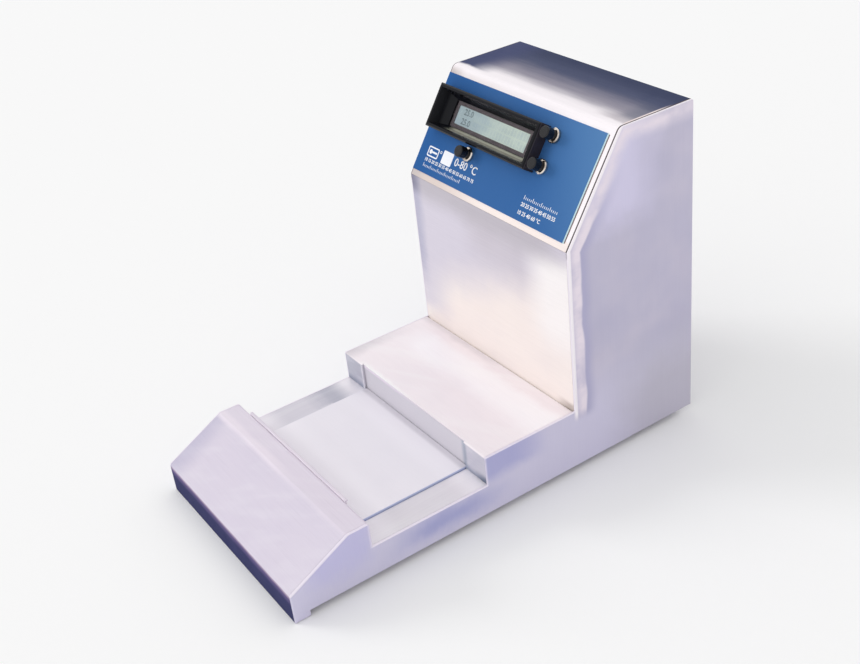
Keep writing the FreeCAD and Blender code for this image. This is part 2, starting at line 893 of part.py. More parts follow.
def rear_panel():
    """Flat rear of the case, set in from the edges, with cut-outs for inlet, rocker, fan and vents."""
    body = new_body("rear_panel", "rear")
    hole = "screw_radius + screw_gap"
    loops = [rectangle("-skin_half", "base_top + seam", "skin_half", "case_height - wall - seam")]
    loops.append(centred("inlet_x", "inlet_z", "inlet_width + 2*inlet_gap", "inlet_height + 2*inlet_gap"))
    loops.append(centred("rocker_x", "inlet_z", "2*(rocker_half_width + seam)", "2*(rocker_half + seam)"))
    loops.append(("fan_x", "fan_z", "fan_bore"))
    loops += [(x, z, hole) for x, z in fan_hole_places() + inlet_screw_places() + rear_screw_places()]
    for step in range(VENTS):
        rise = f"fan_z + {step - (VENTS - 1)/2}*vent_pitch"
        loops.append(centred("vent_x", rise, "vent_length", "vent_width"))
    pad(body, sketch(body, "XZ", loops), "wall")


def feet_and_case_screws():
    """Rubber feet with their screws and nuts, and the screws of the base plate and rear panel."""
    feet = []
    for x, y in foot_places():
        cone = doc.addObject("Part::Cone", "Foot")
        bind(cone, {"Radius1": "foot_radius - foot_taper", "Radius2": "foot_radius", "Height": "foot_height"})
        put(cone, x, y, "0")
        bore = rod((x, y, "-wall"), "screw_radius + screw_gap", "foot_height + 2*wall")
        well = rod((x, y, "-wall"), "screw_head + screw_gap", "foot_well + wall")
        feet.append(cut(cone, bore, well))
    settle(group(feet), "feet")
    length = "foot_height - foot_well + wall + nut_height + screw_radius"
    screws = [pan_screw((x, y, "foot_well"), length, "up") for x, y in foot_places()]
    settle(group(screws), "foot_screws")
    settle(group([hex_nut((x, y, "base_top"), "screw_radius") for x, y in foot_places()]), "foot_nuts")
    screws = [pan_screw((x, y, "foot_height"), "screw_length", "up") for x, y in base_screw_places()]
    screws += [pan_screw((x, "rear_face", z), "screw_length", "inward") for x, z in rear_screw_places()]
    settle(group(screws), "case_screws")


# Heated plate

def thermal_plate():
    """Flat metal plate that the load lies on, with blind stud holes and a bore for its sensor."""
    body = new_body("thermal_plate")
    outline = rectangle("-plate_width/2", "plate_front", "plate_width/2", "plate_rear")
    drawing = sketch(body, "XY", [outline], "plate_bottom")
    plate = pad(body, drawing, "plate_thick")
    plate = soften(body, "Fillet", plate, corner_edges(plate, drawing, range(len(outline))), "plate_corner")
    soften(body, "Chamfer", plate, rim_edges(plate, "Z", True), "plate_chamfer")
    holes = [(x, y, "stud_radius + thread_gap") for x, y in stud_places()]
    pocket(body, sketch(body, "XY", holes, "plate_bottom"), "stud_depth + thread_gap", reverse=True)
    bore = ("sensor_x", "plate_bottom + plate_thick/2", "sensor_radius + sensor_gap")
    pocket(body, sketch(body, "XZ", [bore], "-plate_front"), "sensor_length + sensor_gap")


def plate_layer(label, bottom, thickness, holes):
    """A soft layer under the plate, as large as the plate."""
    body = new_body(label)
    outline = rectangle("-plate_width/2", "plate_front", "plate_width/2", "plate_rear")
    pad(body, sketch(body, "XY", [outline] + holes, bottom), thickness)


def plate_fittings():
    """Studs, nuts, sensor and thermal cut-out of the plate."""
    bottom = "floor_bottom - stud_tail"
    length = "plate_bottom + stud_depth - floor_bottom + stud_tail"
    settle(group([rod((x, y, bottom), "stud_radius", length) for x, y in stud_places()]), "plate_studs")
    nuts = [hex_nut((x, y, "floor_bottom - nut_height"), "stud_radius") for x, y in stud_places()]
    settle(group(nuts), "plate_nuts")
    middle = "plate_bottom + plate_thick/2"
    probe = rod(("sensor_x", "plate_front - sensor_stub", middle), "sensor_radius",
                "sensor_length + sensor_stub", "outward")
    crimp = rod(("sensor_x", "plate_front - sensor_stub", middle), "crimp_radius", "crimp_length", "outward")
    settle(fuse(probe, crimp), "plate_sensor")
    disc = rod(("0", "plate_middle", "floor_bottom"), "cutout_radius", "plate_bottom - floor_bottom")
    neck = rod(("0", "plate_middle", "floor_bottom - cutout_drop"), "cutout_neck", "cutout_drop")
    tabs = [
        block((f"{side}*cutout_neck/2 - tab_thick/2", "plate_middle - tab_width/2",
               "floor_bottom - cutout_drop - wall"), ("tab_thick", "tab_width", "cutout_drop"))
        for side in (-1, 1)
    ]
    settle(fuse(disc, neck, *tabs), "thermal_cutout")


# Control face

def control_overlay():
    """Printed film on the control face."""
    body = new_body("control_overlay", "panel")
    outline = rectangle("-case_width/2 + overlay_left", "overlay_low",
                        "case_width/2 - overlay_right", "panel_run - overlay_high")
    loops = [outline, display_loop("neck_gap")] + button_loops("bushing_radius + bushing_gap")
    pad(body, sketch(body, "XY", loops), "overlay_thick")


def display_bezel():
    """Deep frame round the display: steep inner walls, a shallow ledge and a neck behind it."""
    body = new_body("display_bezel", "panel")
    outer = centred("bezel_x", "bezel_rise", "bezel_width", "bezel_height")
    block_feature = pad(body, sketch(body, "XY", [outer], "overlay_thick"), "bezel_depth")
    soften(body, "Chamfer", block_feature, rim_edges(block_feature, "Z", True), "bezel_chamfer")
    neck = sketch(body, "XY", [display_loop("0")], "overlay_thick")
    pad(body, neck, "overlay_thick + wall + neck_depth", reverse=True)
    opening = centred("display_x", "display_rise", "opening_width", "opening_height")
    top = "overlay_thick + bezel_depth"
    pocket(body, sketch(body, "XY", [opening], top), "bezel_depth + overlay_thick + wall + 2*neck_depth")
    mouth = centred("bezel_x", "bezel_rise", "mouth_width", "mouth_height")
    crease = centred("bezel_x", "bezel_rise", "mouth_width - 2*crease_side", "mouth_height - 2*crease_end")
    floor = "overlay_thick + funnel_floor"
    sections = [(mouth, top), (crease, f"{floor} + crease_lift"), (opening, floor)]
    for (wide, high), (narrow, low) in zip(sections, sections[1:]):
        funnel = body.newObject("PartDesign::SubtractiveLoft", "Funnel")
        funnel.Profile = sketch(body, "XY", [wide], high)
        funnel.Sections = [sketch(body, "XY", [narrow], low)]
        funnel.Ruled = True
        body.Tip = funnel
        doc.recompute()


def display_stack():
    """Window, LCD frame, LCD glass and LCD board behind the bezel."""
    def centre_loop(width, height):
        return centred("display_x", "display_rise", width, height)

    window = new_body("display_window", "panel")
    loop = centre_loop("opening_width - 2*window_gap", "opening_height - 2*window_gap")
    pad(window, sketch(window, "XY", [loop], "window_back"), "window_thick")

    frame = new_body("lcd_frame", "panel")
    outer = centre_loop("opening_width - 2*frame_gap", "opening_height - 2*frame_gap")
    view = centre_loop("view_width", "view_height")
    pad(frame, sketch(frame, "XY", [outer, view], "frame_front"), "frame_depth", reverse=True)
    room = "2*(glass_margin + glass_gap)"
    cavity = centre_loop(f"view_width + {room}", f"view_height + {room}")
    pocket(frame, sketch(frame, "XY", [cavity], "frame_front - frame_lip"), "frame_depth")

    glass = new_body("lcd_glass", "panel")
    loop = centre_loop("view_width + 2*glass_margin", "view_height + 2*glass_margin")
    pad(glass, sketch(glass, "XY", [loop], "frame_front - frame_lip"), "glass_thick", reverse=True)

    board = new_body("lcd_board", "panel")
    loops = [centre_loop("lcd_board_width", "lcd_board_height")]
    loops += [(x, rise, "screw_radius + screw_gap") for x, rise in lcd_screw_places()]
    pad(board, sketch(board, "XY", loops, "frame_back"), "board_thick", reverse=True)


def lcd_screw_places():
    """The four screw places of the LCD board."""
    return [
        (f"display_x + {across}*(lcd_board_width/2 - lcd_hole_inset)",
         f"display_rise + {up}*(lcd_board_height/2 - lcd_hole_inset)")
        for across in (-1, 1)
        for up in (-1, 1)
    ]


def display_fixings():
    """Threaded standoffs between the control face and the LCD board, and the screws behind the board."""
    standoffs = []
    screws = []
    length = "board_thick - frame_back - 2*wall - seam"
    for x, rise in lcd_screw_places():
        sleeve = rod((x, rise, "frame_back"), "screw_radius + standoff_wall", "-wall - frame_back")
        bore = rod((x, rise, "frame_back - wall"), "screw_radius + thread_gap", "-frame_back")
        standoffs.append(cut(sleeve, bore))
        screws.append(pan_screw((x, rise, "lcd_board_back"), length, "up"))
    settle(group(standoffs), "display_standoffs", "panel")
    settle(group(screws), "display_screws", "panel")


def button_cap(name):
    """Moving cap of one push button: a skirt over the bushing, and the stem inside it."""
    x, rise = BUTTONS[name]
    body = new_body(f"button_cap_{name}", "panel")
    skirt_inside = "cap_radius - cap_wall"
    section = [
        ("0", "stem_bottom"),
        ("stem_radius", "stem_bottom"),
        ("stem_radius", "cap_ceiling"),
        (skirt_inside, "cap_ceiling"),
        (skirt_inside, "skirt_bottom"),
        ("cap_radius", "skirt_bottom"),
        ("cap_radius", "cap_front"),
        ("0", "cap_front"),
    ]
    turned = turn_solid(body, section)
    soften(body, "Fillet", turned, rim_edges(turned, "Z", True), "cap_round")
    shift_on_panel(body, x, rise)


def shift_on_panel(item, x, rise):
    """Move a piece that is drawn about its own axis to its place on the control face."""
    put(item, x, f"front + head_front + ({rise})*sin(panel_tilt)", f"kink_height + ({rise})*cos(panel_tilt)")


def button_switch(name):
    """Fixed switch of one push button: square housing, bushing with the stem's bore, and two tabs."""
    x, rise = BUTTONS[name]
    body = new_body(f"button_switch_{name}", "panel")
    pad(body, sketch(body, "XY", [centred("0", "0", "switch_side", "switch_side")], "switch_top"),
        "switch_depth", reverse=True)
    pad(body, sketch(body, "XY", [("0", "0", "bushing_radius")], "switch_top"), "bushing_top - switch_top")
    tabs = [centred(f"{side}*switch_side/4", "0", "tab_thick", "tab_width") for side in (-1, 1)]
    pad(body, sketch(body, "XY", tabs, "switch_top - switch_depth"), "tab_length", reverse=True)
    bore = sketch(body, "XY", [("0", "0", "stem_radius + stem_gap")], "bushing_top")
    pocket(body, bore, "bushing_top - stem_bottom + press_travel + cap_gap")
    shift_on_panel(body, x, rise)


def button_rings():
    """Round nuts in front of the control face, each with a chamfered rim, and washers behind it."""
    nuts = []
    washers = []
    bore = "bushing_radius + bushing_gap"
    for x, rise in BUTTONS.values():
        disc = rod((x, rise, "overlay_thick"), "nut_radius", "nut_thick - nut_chamfer")
        rim = taper((x, rise, "nut_top - nut_chamfer"),
                    "nut_radius", "nut_radius - nut_chamfer", "nut_chamfer")
        hole = rod((x, rise, "0"), bore, "2*nut_thick")
        nuts.append(cut(fuse(disc, rim), hole))
        washer = rod((x, rise, "switch_top"), "nut_radius", "washer_thick")
        washers.append(cut(washer, rod((x, rise, "switch_top - wall"), bore, "3*wall")))
    settle(group(nuts), "button_nuts", "panel")
    settle(group(washers), "button_washers", "panel")


# Rear fittings

def inlet_pin_places():
    """The three blades of the inlet: line, neutral and earth."""
    return [
        ("inlet_x - pin_span/2", "socket_z - pin_rise/2"),
        ("inlet_x + pin_span/2", "socket_z - pin_rise/2"),
        ("inlet_x", "socket_z + pin_rise/2"),
    ]


def power_inlet():
    """Mains inlet: a flanged housing with a socket above a slot for the fuse drawer."""
    body = new_body("power_inlet", "rear")
    plan = centred("inlet_x", "inlet_z", "inlet_width", "inlet_height")
    pad(body, sketch(body, "XZ", [plan]), "inlet_depth")
    flange = [centred("inlet_x", "inlet_z", "inlet_screw_span + 2*inlet_ear",
                      "inlet_height + 2*inlet_flange_over")]
    flange += [(x, z, "screw_radius + screw_gap") for x, z in inlet_screw_places()]
    pad(body, sketch(body, "XZ", flange), "inlet_flange", reverse=True)
    socket = centred("inlet_x", "socket_z", "socket_width", "socket_height")
    pocket(body, sketch(body, "XZ", [socket], "-inlet_flange"), "socket_depth", reverse=True)
    drawer = centred("inlet_x", "drawer_z", "drawer_width + 2*drawer_gap", "drawer_height + 2*drawer_gap")
    pocket(body, sketch(body, "XZ", [drawer], "-inlet_flange"), "drawer_length + drawer_gap", reverse=True)
    slots = [centred(x, z, "pin_width + 2*thread_gap", "pin_height + 2*thread_gap")
             for x, z in inlet_pin_places()]
    pocket(body, sketch(body, "XZ", slots, "-inlet_flange"), "inlet_depth + 2*inlet_flange", reverse=True)
    pins = [
        block((f"{x} - pin_width/2", "-inlet_depth - pin_tail", f"{z} - pin_height/2"),
              ("pin_width", "inlet_depth + pin_tail + inlet_flange - pin_setback", "pin_height"))
        for x, z in inlet_pin_places()
    ]
    settle(group(pins), "inlet_pins", "rear")
    screws = [pan_screw((x, "inlet_flange", z), "screw_length", "inward") for x, z in inlet_screw_places()]
    settle(group(screws), "inlet_screws", "rear")


def fuse_drawer():
    """Pull-out drawer under the inlet's socket, and the glass fuse lying in it."""
    low = ("inlet_x - drawer_width/2", "inlet_flange - drawer_length", "drawer_z - drawer_height/2")
    tray = block(low, ("drawer_width", "drawer_length", "drawer_height"))
    trough = block(("inlet_x - fuse_radius - drawer_gap", "inlet_flange - drawer_length + drawer_wall",
                    "drawer_z - fuse_radius - drawer_gap"),
                   ("2*(fuse_radius + drawer_gap)", "drawer_length - 2*drawer_wall", "drawer_height"))
    grip = block(("inlet_x - drawer_width/4", "inlet_flange - drawer_wall/2", "drawer_z + drawer_height/4"),
                 ("drawer_width/2", "drawer_wall", "drawer_wall"))
    settle(cut(tray, trough, grip), "fuse_drawer", "rear")
    middle = "inlet_flange - drawer_length/2"
    glass = rod(("inlet_x", f"{middle} - fuse_length/2", "drawer_z"), "fuse_glass", "fuse_length",
                "outward")
    caps = [
        rod(("inlet_x", f"{middle} - fuse_length/2 + {end}*(fuse_length - fuse_cap)", "drawer_z"),
            "fuse_radius", "fuse_cap", "outward")
        for end in (0, 1)
    ]
    settle(fuse(glass, *caps), "fuse", "rear")


def power_rocker():
    """Rocker switch: a housing with a round well, and a paddle that tips on two pins."""
    axis_y = "-rocker_sink"
    housing = block(("rocker_x - rocker_half_width", "-rocker_depth", "inlet_z - rocker_half"),
                    ("2*rocker_half_width", "rocker_depth", "2*rocker_half"))
    rim = block(("rocker_x - rocker_half_width - rocker_flange_over", "0",
                 "inlet_z - rocker_half - rocker_flange_over"),
                ("2*(rocker_half_width + rocker_flange_over)", "rocker_flange",
                 "2*(rocker_half + rocker_flange_over)"))
    inside = "rocker_width + 2*rocker_gap"
    start = f"rocker_x - ({inside})/2"
    well = rod((start, axis_y, "inlet_z"), "rocker_radius + rocker_gap", inside, "across")
    mouth = block((start, axis_y, "inlet_z - rocker_radius - rocker_gap"),
                  (inside, "2*rocker_radius", "2*(rocker_radius + rocker_gap)"))
    pin_span = "rocker_width + 2*rocker_pin_length"
    pin_room = f"{pin_span} + 2*rocker_pin_gap"
    bearing = rod((f"rocker_x - ({pin_room})/2", axis_y, "inlet_z"), "rocker_pin + rocker_pin_gap", pin_room,
                  "across")
    settle(cut(fuse(housing, rim), well, mouth, bearing), "rocker_housing", "rear")

    drum = rod(("-rocker_width/2", "0", "0"), "rocker_radius", "rocker_width", "across")
    pins = rod((f"-({pin_span})/2", "0", "0"), "rocker_pin", pin_span, "across")
    faces = []
    for side, far in ((1, 0), (-1, 4)):
        face = block(("0", "0", "0"), ("2*rocker_width", "rocker_radius", "4*rocker_radius"))
        face.Placement = Placement(Vector(), Rotation(Vector(1, 0, 0), 1))
        bind(face, {"Placement.Rotation.Angle": f"{-side}*rocker_tilt"})
        put(face, "-rocker_width", f"rocker_dip + {far}*rocker_radius*sin(rocker_tilt)",
            f"-{far}*rocker_radius*cos(rocker_tilt)")
        faces.append(face)
    paddle = settle(cut(fuse(drum, pins), *faces), "rocker_paddle", "rear")
    paddle.Placement = Placement(Vector(), Rotation(Vector(1, 0, 0), 1))
    bind(paddle, {"Placement.Rotation.Angle": "rocker_tilt"})
    put(paddle, "rocker_x", "front + rear_face - rocker_sink", "inlet_z")


def fan():
    """Axial fan: square frame with a spider, rotor with raked blades, wire guard and screws."""
    frame = new_body("fan_frame", "rear")
    loops = [centred("fan_x", "fan_z", "fan_side", "fan_side"), ("fan_x", "fan_z", "fan_bore")]
    loops += [(x, z, "screw_radius + screw_gap") for x, z in fan_hole_places()]
    pad(frame, sketch(frame, "XZ", loops, "wall"), "fan_depth")
    spider_lift = "wall + fan_depth - fan_strut"
    for width, height in (("2*fan_bore + wall", "fan_strut"), ("fan_strut", "2*fan_bore + wall")):
        bar = centred("fan_x", "fan_z", width, height)
        pad(frame, sketch(frame, "XZ", [bar], spider_lift), "fan_strut")
    pad(frame, sketch(frame, "XZ", [("fan_x", "fan_z", "fan_hub")], spider_lift), "fan_strut")
    bearing = ("fan_x", "fan_z", "fan_shaft + fan_shaft_gap")
    pocket(frame, sketch(frame, "XZ", [bearing], "wall"), "2*fan_depth", reverse=True)
    doc.recompute()

    hub_start = "wall + fan_face_gap"
    hub_length = "fan_depth - fan_strut - 2*fan_face_gap"
    hub = rod(("0", f"-({hub_start})", "0"), "fan_hub", hub_length, "inward")
    shaft = rod(("0", f"-({hub_start})", "0"), "fan_shaft", "fan_depth - fan_face_gap", "inward")
    blades = []
    for step in range(BLADES):
        blade = block(("0", "0", "0"), ("fan_tip - fan_hub/2", "blade_chord", "blade_thick"))
        around = Rotation(Vector(0, 1, 0), 360*step/BLADES)
        raked = group([blade])
        raked.Placement = Placement(Vector(), Rotation(Vector(1, 0, 0), 1))
        bind(raked, {"Placement.Rotation.Angle": "blade_pitch"})
        put(raked, "fan_hub/2", "-blade_chord/2*cos(blade_pitch)", "-blade_chord/2*sin(blade_pitch)")
        turned = group([raked])
        turned.Placement = Placement(Vector(), around)
        put(turned, "0", f"-({hub_start} + ({hub_length})/2)", "0")
        blades.append(turned)
    envelope = rod(("0", "0", "0"), "fan_tip", "wall + fan_depth", "inward")
    swept = doc.addObject("Part::Common", "Swept")
    swept.Base = fuse(hub, shaft, *blades)
    swept.Tool = envelope
    settle(swept, "fan_rotor", "rear")
    put(swept, "fan_x", "front + rear_face", "fan_z")

    wires = []
    for ring in range(1, GUARD_RINGS + 1):
        loop = doc.addObject("Part::Torus", "Ring")
        loop.Placement = Placement(Vector(), Rotation(Vector(1, 0, 0), 90))
        bind(loop, {"Radius1": f"{ring}*guard_step", "Radius2": "guard_wire"})
        put(loop, "fan_x", "guard_wire", "fan_z")
        wires.append(loop)
    for slant in (45, -45):
        bar = rod(("0", "0", "0"), "guard_wire*0.9", "fan_hole_span*sqrt(2) - 2*screw_radius", "across")
        turned = group([bar])
        turned.Placement = Placement(Vector(), Rotation(Vector(0, 1, 0), slant))
        reach = "(fan_hole_span/2 - screw_radius/sqrt(2))"
        put(turned, f"fan_x - {reach}", "guard_wire", f"fan_z + {math.copysign(1, slant)}*{reach}")
        wires.append(turned)
    for x, z in fan_hole_places():
        eye = doc.addObject("Part::Torus", "Eye")
        eye.Placement = Placement(Vector(), Rotation(Vector(1, 0, 0), 90))
        bind(eye, {"Radius1": "screw_radius + screw_gap + guard_wire", "Radius2": "guard_wire"})
        put(eye, x, "guard_wire", z)
        wires.append(eye)
    settle(fuse(*wires), "fan_guard", "rear")
    length = "2*guard_wire + wall + fan_depth + screw_radius"
    screws = [pan_screw((x, "2*guard_wire", z), length, "inward") for x, z in fan_hole_places()]
    settle(group(screws), "fan_screws", "rear")


# Electronics

def control_board():
    """Controller board on standoffs over the base plate, with its chips, connectors and heater relay."""
    inset = "board_hole_inset"
    places = [
        (f"board_x + {across}*(board_width/2 - {inset})", f"board_y + {along}*(board_length/2 - {inset})")
        for across in (-1, 1)
        for along in (-1, 1)
    ]
    body = new_body("control_board")
    loops = [centred("board_x", "board_y", "board_width", "board_length")]
    loops += [(x, y, "screw_radius + screw_gap") for x, y in places]
    pad(body, sketch(body, "XY", loops, "board_bottom"), "board_thick")
    sleeves = []
    for x, y in places:
        sleeve = rod((x, y, "base_top"), "standoff_radius", "board_lift")
        sleeves.append(cut(sleeve, rod((x, y, "base_top + wall"), "screw_radius + thread_gap", "board_lift")))
    settle(group(sleeves), "board_standoffs")
    screws = [pan_screw((x, y, "board_top"), "screw_length", "down") for x, y in places]
    settle(group(screws), "board_screws")

    def seated(x, y, sizes):
        width, length, height = sizes
        return block((f"{x} - {width}/2", f"{y} - {length}/2", "board_top"), (width, length, height))

    chip = ("chip_width", "chip_length", "chip_height")
    chip_places = ("board_x - chip_width", "board_x + chip_width/2")
    chips = [seated(x, "board_y + chip_setback", chip) for x in chip_places]
    header = seated("ribbon_x", "ribbon_y", ("header_width", "header_length", "header_height"))
    terminals = seated("cable_x", "board_front + block_length",
                       ("block_width", "block_length", "block_height"))
    settle(group(chips + [header, terminals]), "board_components")
    relay = seated("board_x - board_width/4", "board_y - relay_setback",
                   ("relay_width", "relay_length", "relay_height"))
    settle(group([relay]), "heater_relay")


def display_ribbon():
    """Flat cable from the back of the LCD board straight down to the controller board."""
    body = new_body("display_ribbon")
    foot = "board_top + header_height"
    outline = [
        ("ribbon_y - ribbon_thick/2", foot),
        ("ribbon_y + ribbon_thick/2", foot),
        ("ribbon_y + ribbon_thick/2", "ribbon_top + ribbon_slant"),
        ("ribbon_y - ribbon_thick/2", "ribbon_top - ribbon_slant"),
    ]
    drawing = sketch(body, "YZ", [outline], "ribbon_x")
    pad(body, drawing, "ribbon_width", both=True)


def heater_cable():
    """Round cable from the heater mat, down through the well's floor and back to the controller board."""
    start = Vector(0, number_of("plate_middle"), number_of("mat_bottom"))
    lane_z = number_of("base_top + cable_radius + cable_clear")
    rise_y = number_of("board_front - cable_radius - cable_clear")
    end = Vector(0, number_of("board_front + block_length/2"), number_of("board_top + block_height/2"))
    corners = [
        start,
        Vector(0, start.y, lane_z),
        Vector(0, rise_y, lane_z),
        Vector(0, rise_y, end.z),
        end,
    ]
    shortest = min((after - before).Length for before, after in zip(corners, corners[1:]))
    path = rounded_path(corners, min(number_of("cable_bend"), 0.45*shortest))
    tube = Part.Wire([Part.makeCircle(number_of("cable_radius"), start, Vector(0, 0, -1))])
    item = doc.addObject("Part::Feature", "Cable")
    item.Shape = path.makePipeShell([tube], True, False)
    settle(item, "heater_cable", x="cable_x")


def number_of(text):
    """The present value of a formula, read back from the sheet's cells."""
    probe = doc.addObject("App::FeaturePython", "Probe")
    probe.addProperty("App::PropertyFloat", "Size")
    bind(probe, {"Size": text})
    probe.recompute()
    size = probe.Size
    doc.removeObject(probe.Name)
    return size


def rounded_path(corners, bend):
    """A wire of straight runs joined by quarter arcs at square corners."""
    edges = []
    start = corners[0]
    for before, corner, after in zip(corners, corners[1:], corners[2:]):
        back = (before - corner).normalize()
        on = (after - corner).normalize()
        first = corner + back*bend
        last = corner + on*bend
        centre = corner + (back + on)*bend
        middle = centre - (back + on).normalize()*bend
        edges.append(Part.LineSegment(start, first).toShape())
        edges.append(Part.Arc(first, middle, last).toShape())
        start = last
    edges.append(Part.LineSegment(start, corners[-1]).toShape())
    return Part.Wire(edges)


def power_supply():
    """Open supply: a channel on the base plate, its board on bosses, transformer and capacitors."""
    low_x = "supply_x - supply_width/2"
    low_y = "supply_y - supply_length/2"
    outer = block((low_x, low_y, "base_top"), ("supply_width", "supply_length", "supply_height"))
    inner = block((f"{low_x} + wall", f"{low_y} - wall", "supply_floor"),
                  ("supply_width - 2*wall", "supply_length + 2*wall", "supply_height"))
    bosses = [
        rod((f"supply_x + {across}*supply_width/3", f"supply_y + {along}*supply_length/3", "supply_floor"),
            "standoff_radius", "supply_boss")
        for across in (-1, 1)
        for along in (-1, 1)
    ]
    settle(fuse(cut(outer, inner), *bosses), "supply_chassis")
    board = block((f"{low_x} + 2*wall", f"{low_y} + wall", "supply_floor + supply_boss"),
                  ("supply_width - 4*wall", "supply_length - 2*wall", "board_thick"))
    settle(group([board]), "supply_board")
    core_y = "supply_y - supply_length/5"
    core = block(("supply_x - core_width/2", f"{core_y} - core_length/2", "supply_board_top"),
                 ("core_width", "core_length", "core_height"))
    coil = block(("supply_x - core_width/2 + coil_margin", f"{core_y} - core_length/2 - coil_margin",
                  "supply_board_top + coil_margin"),
                 ("core_width - 2*coil_margin", "core_length + 2*coil_margin", "core_height - 2*coil_margin"))
    settle(fuse(core, coil), "power_transformer")
    cans = [
        rod((f"supply_x + {side}*capacitor_pitch/2", "supply_y + supply_length/4", "supply_board_top"),
            "capacitor_radius", "capacitor_height")
        for side in (-1, 1)
    ]
    settle(group(cans), "supply_capacitors")


def build():
    """Make every sub-part."""
    side_panel("left_side_panel", False)
    side_panel("right_side_panel", True)
    nose_cover()
    nose_lip()
    well_pan()
    deck_cover()
    step_panel()
    head_front_panel()
    head_cover()
    base_plate()
    rear_panel()
    feet_and_case_screws()
    thermal_plate()
    plate_layer("heater_mat", "mat_bottom", "mat_thick", under_plate_holes())
    plate_layer("insulation_pad", "floor_top", "pad_thick", under_plate_holes() + [cable_hole()])
    plate_fittings()
    control_overlay()
    display_bezel()
    display_stack()
    display_fixings()
    for name in BUTTONS:
        button_cap(name)
        button_switch(name)
    button_rings()
    power_inlet()
    fuse_drawer()
    power_rocker()
    fan()
    control_board()
    display_ribbon()
    heater_cable()
    power_supply()
    doc.recompute()


def check():
    """Stop if any object failed or any sub-part has no sound shape."""
    failed = [item.Name for item in doc.Objects if {"Invalid", "Error"} & set(item.State)]
    unsound = [item.Label for item in SUBPARTS if item.Shape.isNull() or not item.Shape.isValid()]
    if failed or unsound:
        raise RuntimeError(f"failed objects {failed}, unsound sub-parts {unsound}")


def write():
    """Write each sub-part to its own file."""
    os.makedirs("parts", exist_ok=True)
    for item in SUBPARTS:
        item.Shape.exportStep(f"parts/{item.Label}.step")
        print(f"{item.Label}: {len(item.Shape.Solids)} solids, {item.Shape.Volume/1000:.2f} cm3")


build()
check()
write()
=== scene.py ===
"""Dress the bench thermal conditioner: sheet finishes, control face, rear fittings, camera and studio."""

import json
import logging
import math
from dataclasses import dataclass
from enum import Enum

import bpy
from mathutils import Matrix, Vector

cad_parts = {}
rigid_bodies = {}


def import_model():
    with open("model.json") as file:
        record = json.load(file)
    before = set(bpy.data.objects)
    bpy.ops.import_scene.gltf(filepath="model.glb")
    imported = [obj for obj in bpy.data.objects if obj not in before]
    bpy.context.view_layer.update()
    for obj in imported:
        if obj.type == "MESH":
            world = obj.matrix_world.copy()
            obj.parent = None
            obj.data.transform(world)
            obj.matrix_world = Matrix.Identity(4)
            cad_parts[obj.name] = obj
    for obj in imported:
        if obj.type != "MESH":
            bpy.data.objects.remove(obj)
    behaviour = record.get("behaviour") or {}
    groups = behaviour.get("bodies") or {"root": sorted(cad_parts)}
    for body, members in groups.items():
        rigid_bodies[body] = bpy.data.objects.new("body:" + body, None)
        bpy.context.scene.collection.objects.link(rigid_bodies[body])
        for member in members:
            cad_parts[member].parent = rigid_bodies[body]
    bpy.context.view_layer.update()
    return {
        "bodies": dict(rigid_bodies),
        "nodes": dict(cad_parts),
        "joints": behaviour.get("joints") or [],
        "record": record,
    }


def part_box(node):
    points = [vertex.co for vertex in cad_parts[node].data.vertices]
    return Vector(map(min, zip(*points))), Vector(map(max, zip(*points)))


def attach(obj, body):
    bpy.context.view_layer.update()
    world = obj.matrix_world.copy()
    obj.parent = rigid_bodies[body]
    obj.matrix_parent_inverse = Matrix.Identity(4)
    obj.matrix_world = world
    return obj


LOG = logging.getLogger("conditioner")
MM = 0.001

Paint = tuple[int, int, int]
Colour = tuple[float, float, float, float]
Triple = tuple[float, float, float]
Shade = Colour | bpy.types.NodeSocket

ACROSS: Triple = (1.0, 0.0, 0.0)
DEEP: Triple = (0.0, 1.0, 0.0)
UP: Triple = (0.0, 0.0, 1.0)
WHITE: Paint = (255, 255, 255)

# Sizes of the case that more than one class needs, in millimetres and degrees
DECK = 57.6
HEAD_FRONT = 68.1
KINK = 196.5
FACE_TILT = 33.5


class Axis(Enum):
    """A direction of the part's own frame."""

    X = "X"
    Y = "Y"
    Z = "Z"


class Body(Enum):
    """A body that a piece rides on."""

    CASE = "case"
    ROCKER = "rocker"


class Blend(Enum):
    """A way in which one colour is laid over another."""

    MIX = "MIX"
    OVERLAY = "OVERLAY"
    MULTIPLY = "MULTIPLY"


class Slot(Enum):
    """A material slot of the part."""

    OVERLAY = "overlay"
    LCD = "lcd"
    BLACK_PLASTIC = "black_plastic"


def paint(shade: Paint, lift: float = 1.0) -> Colour:
    """Turn a colour as a screen shows it into linear light.

    Args:
        shade: The red, green and blue shares, 0 to 255.
        lift: How much brighter it is made, up to full light.

    Returns:
        The linear colour with full cover.
    """
    full, toe, slope, foot, power = 255, 0.04045, 12.92, 0.055, 2.4
    linear = []
    for part in shade:
        share = part / full
        light = share / slope if share <= toe else ((share + foot) / (1 + foot)) ** power
        linear.append(min(light * lift, 1.0))
    return (*linear, 1.0)


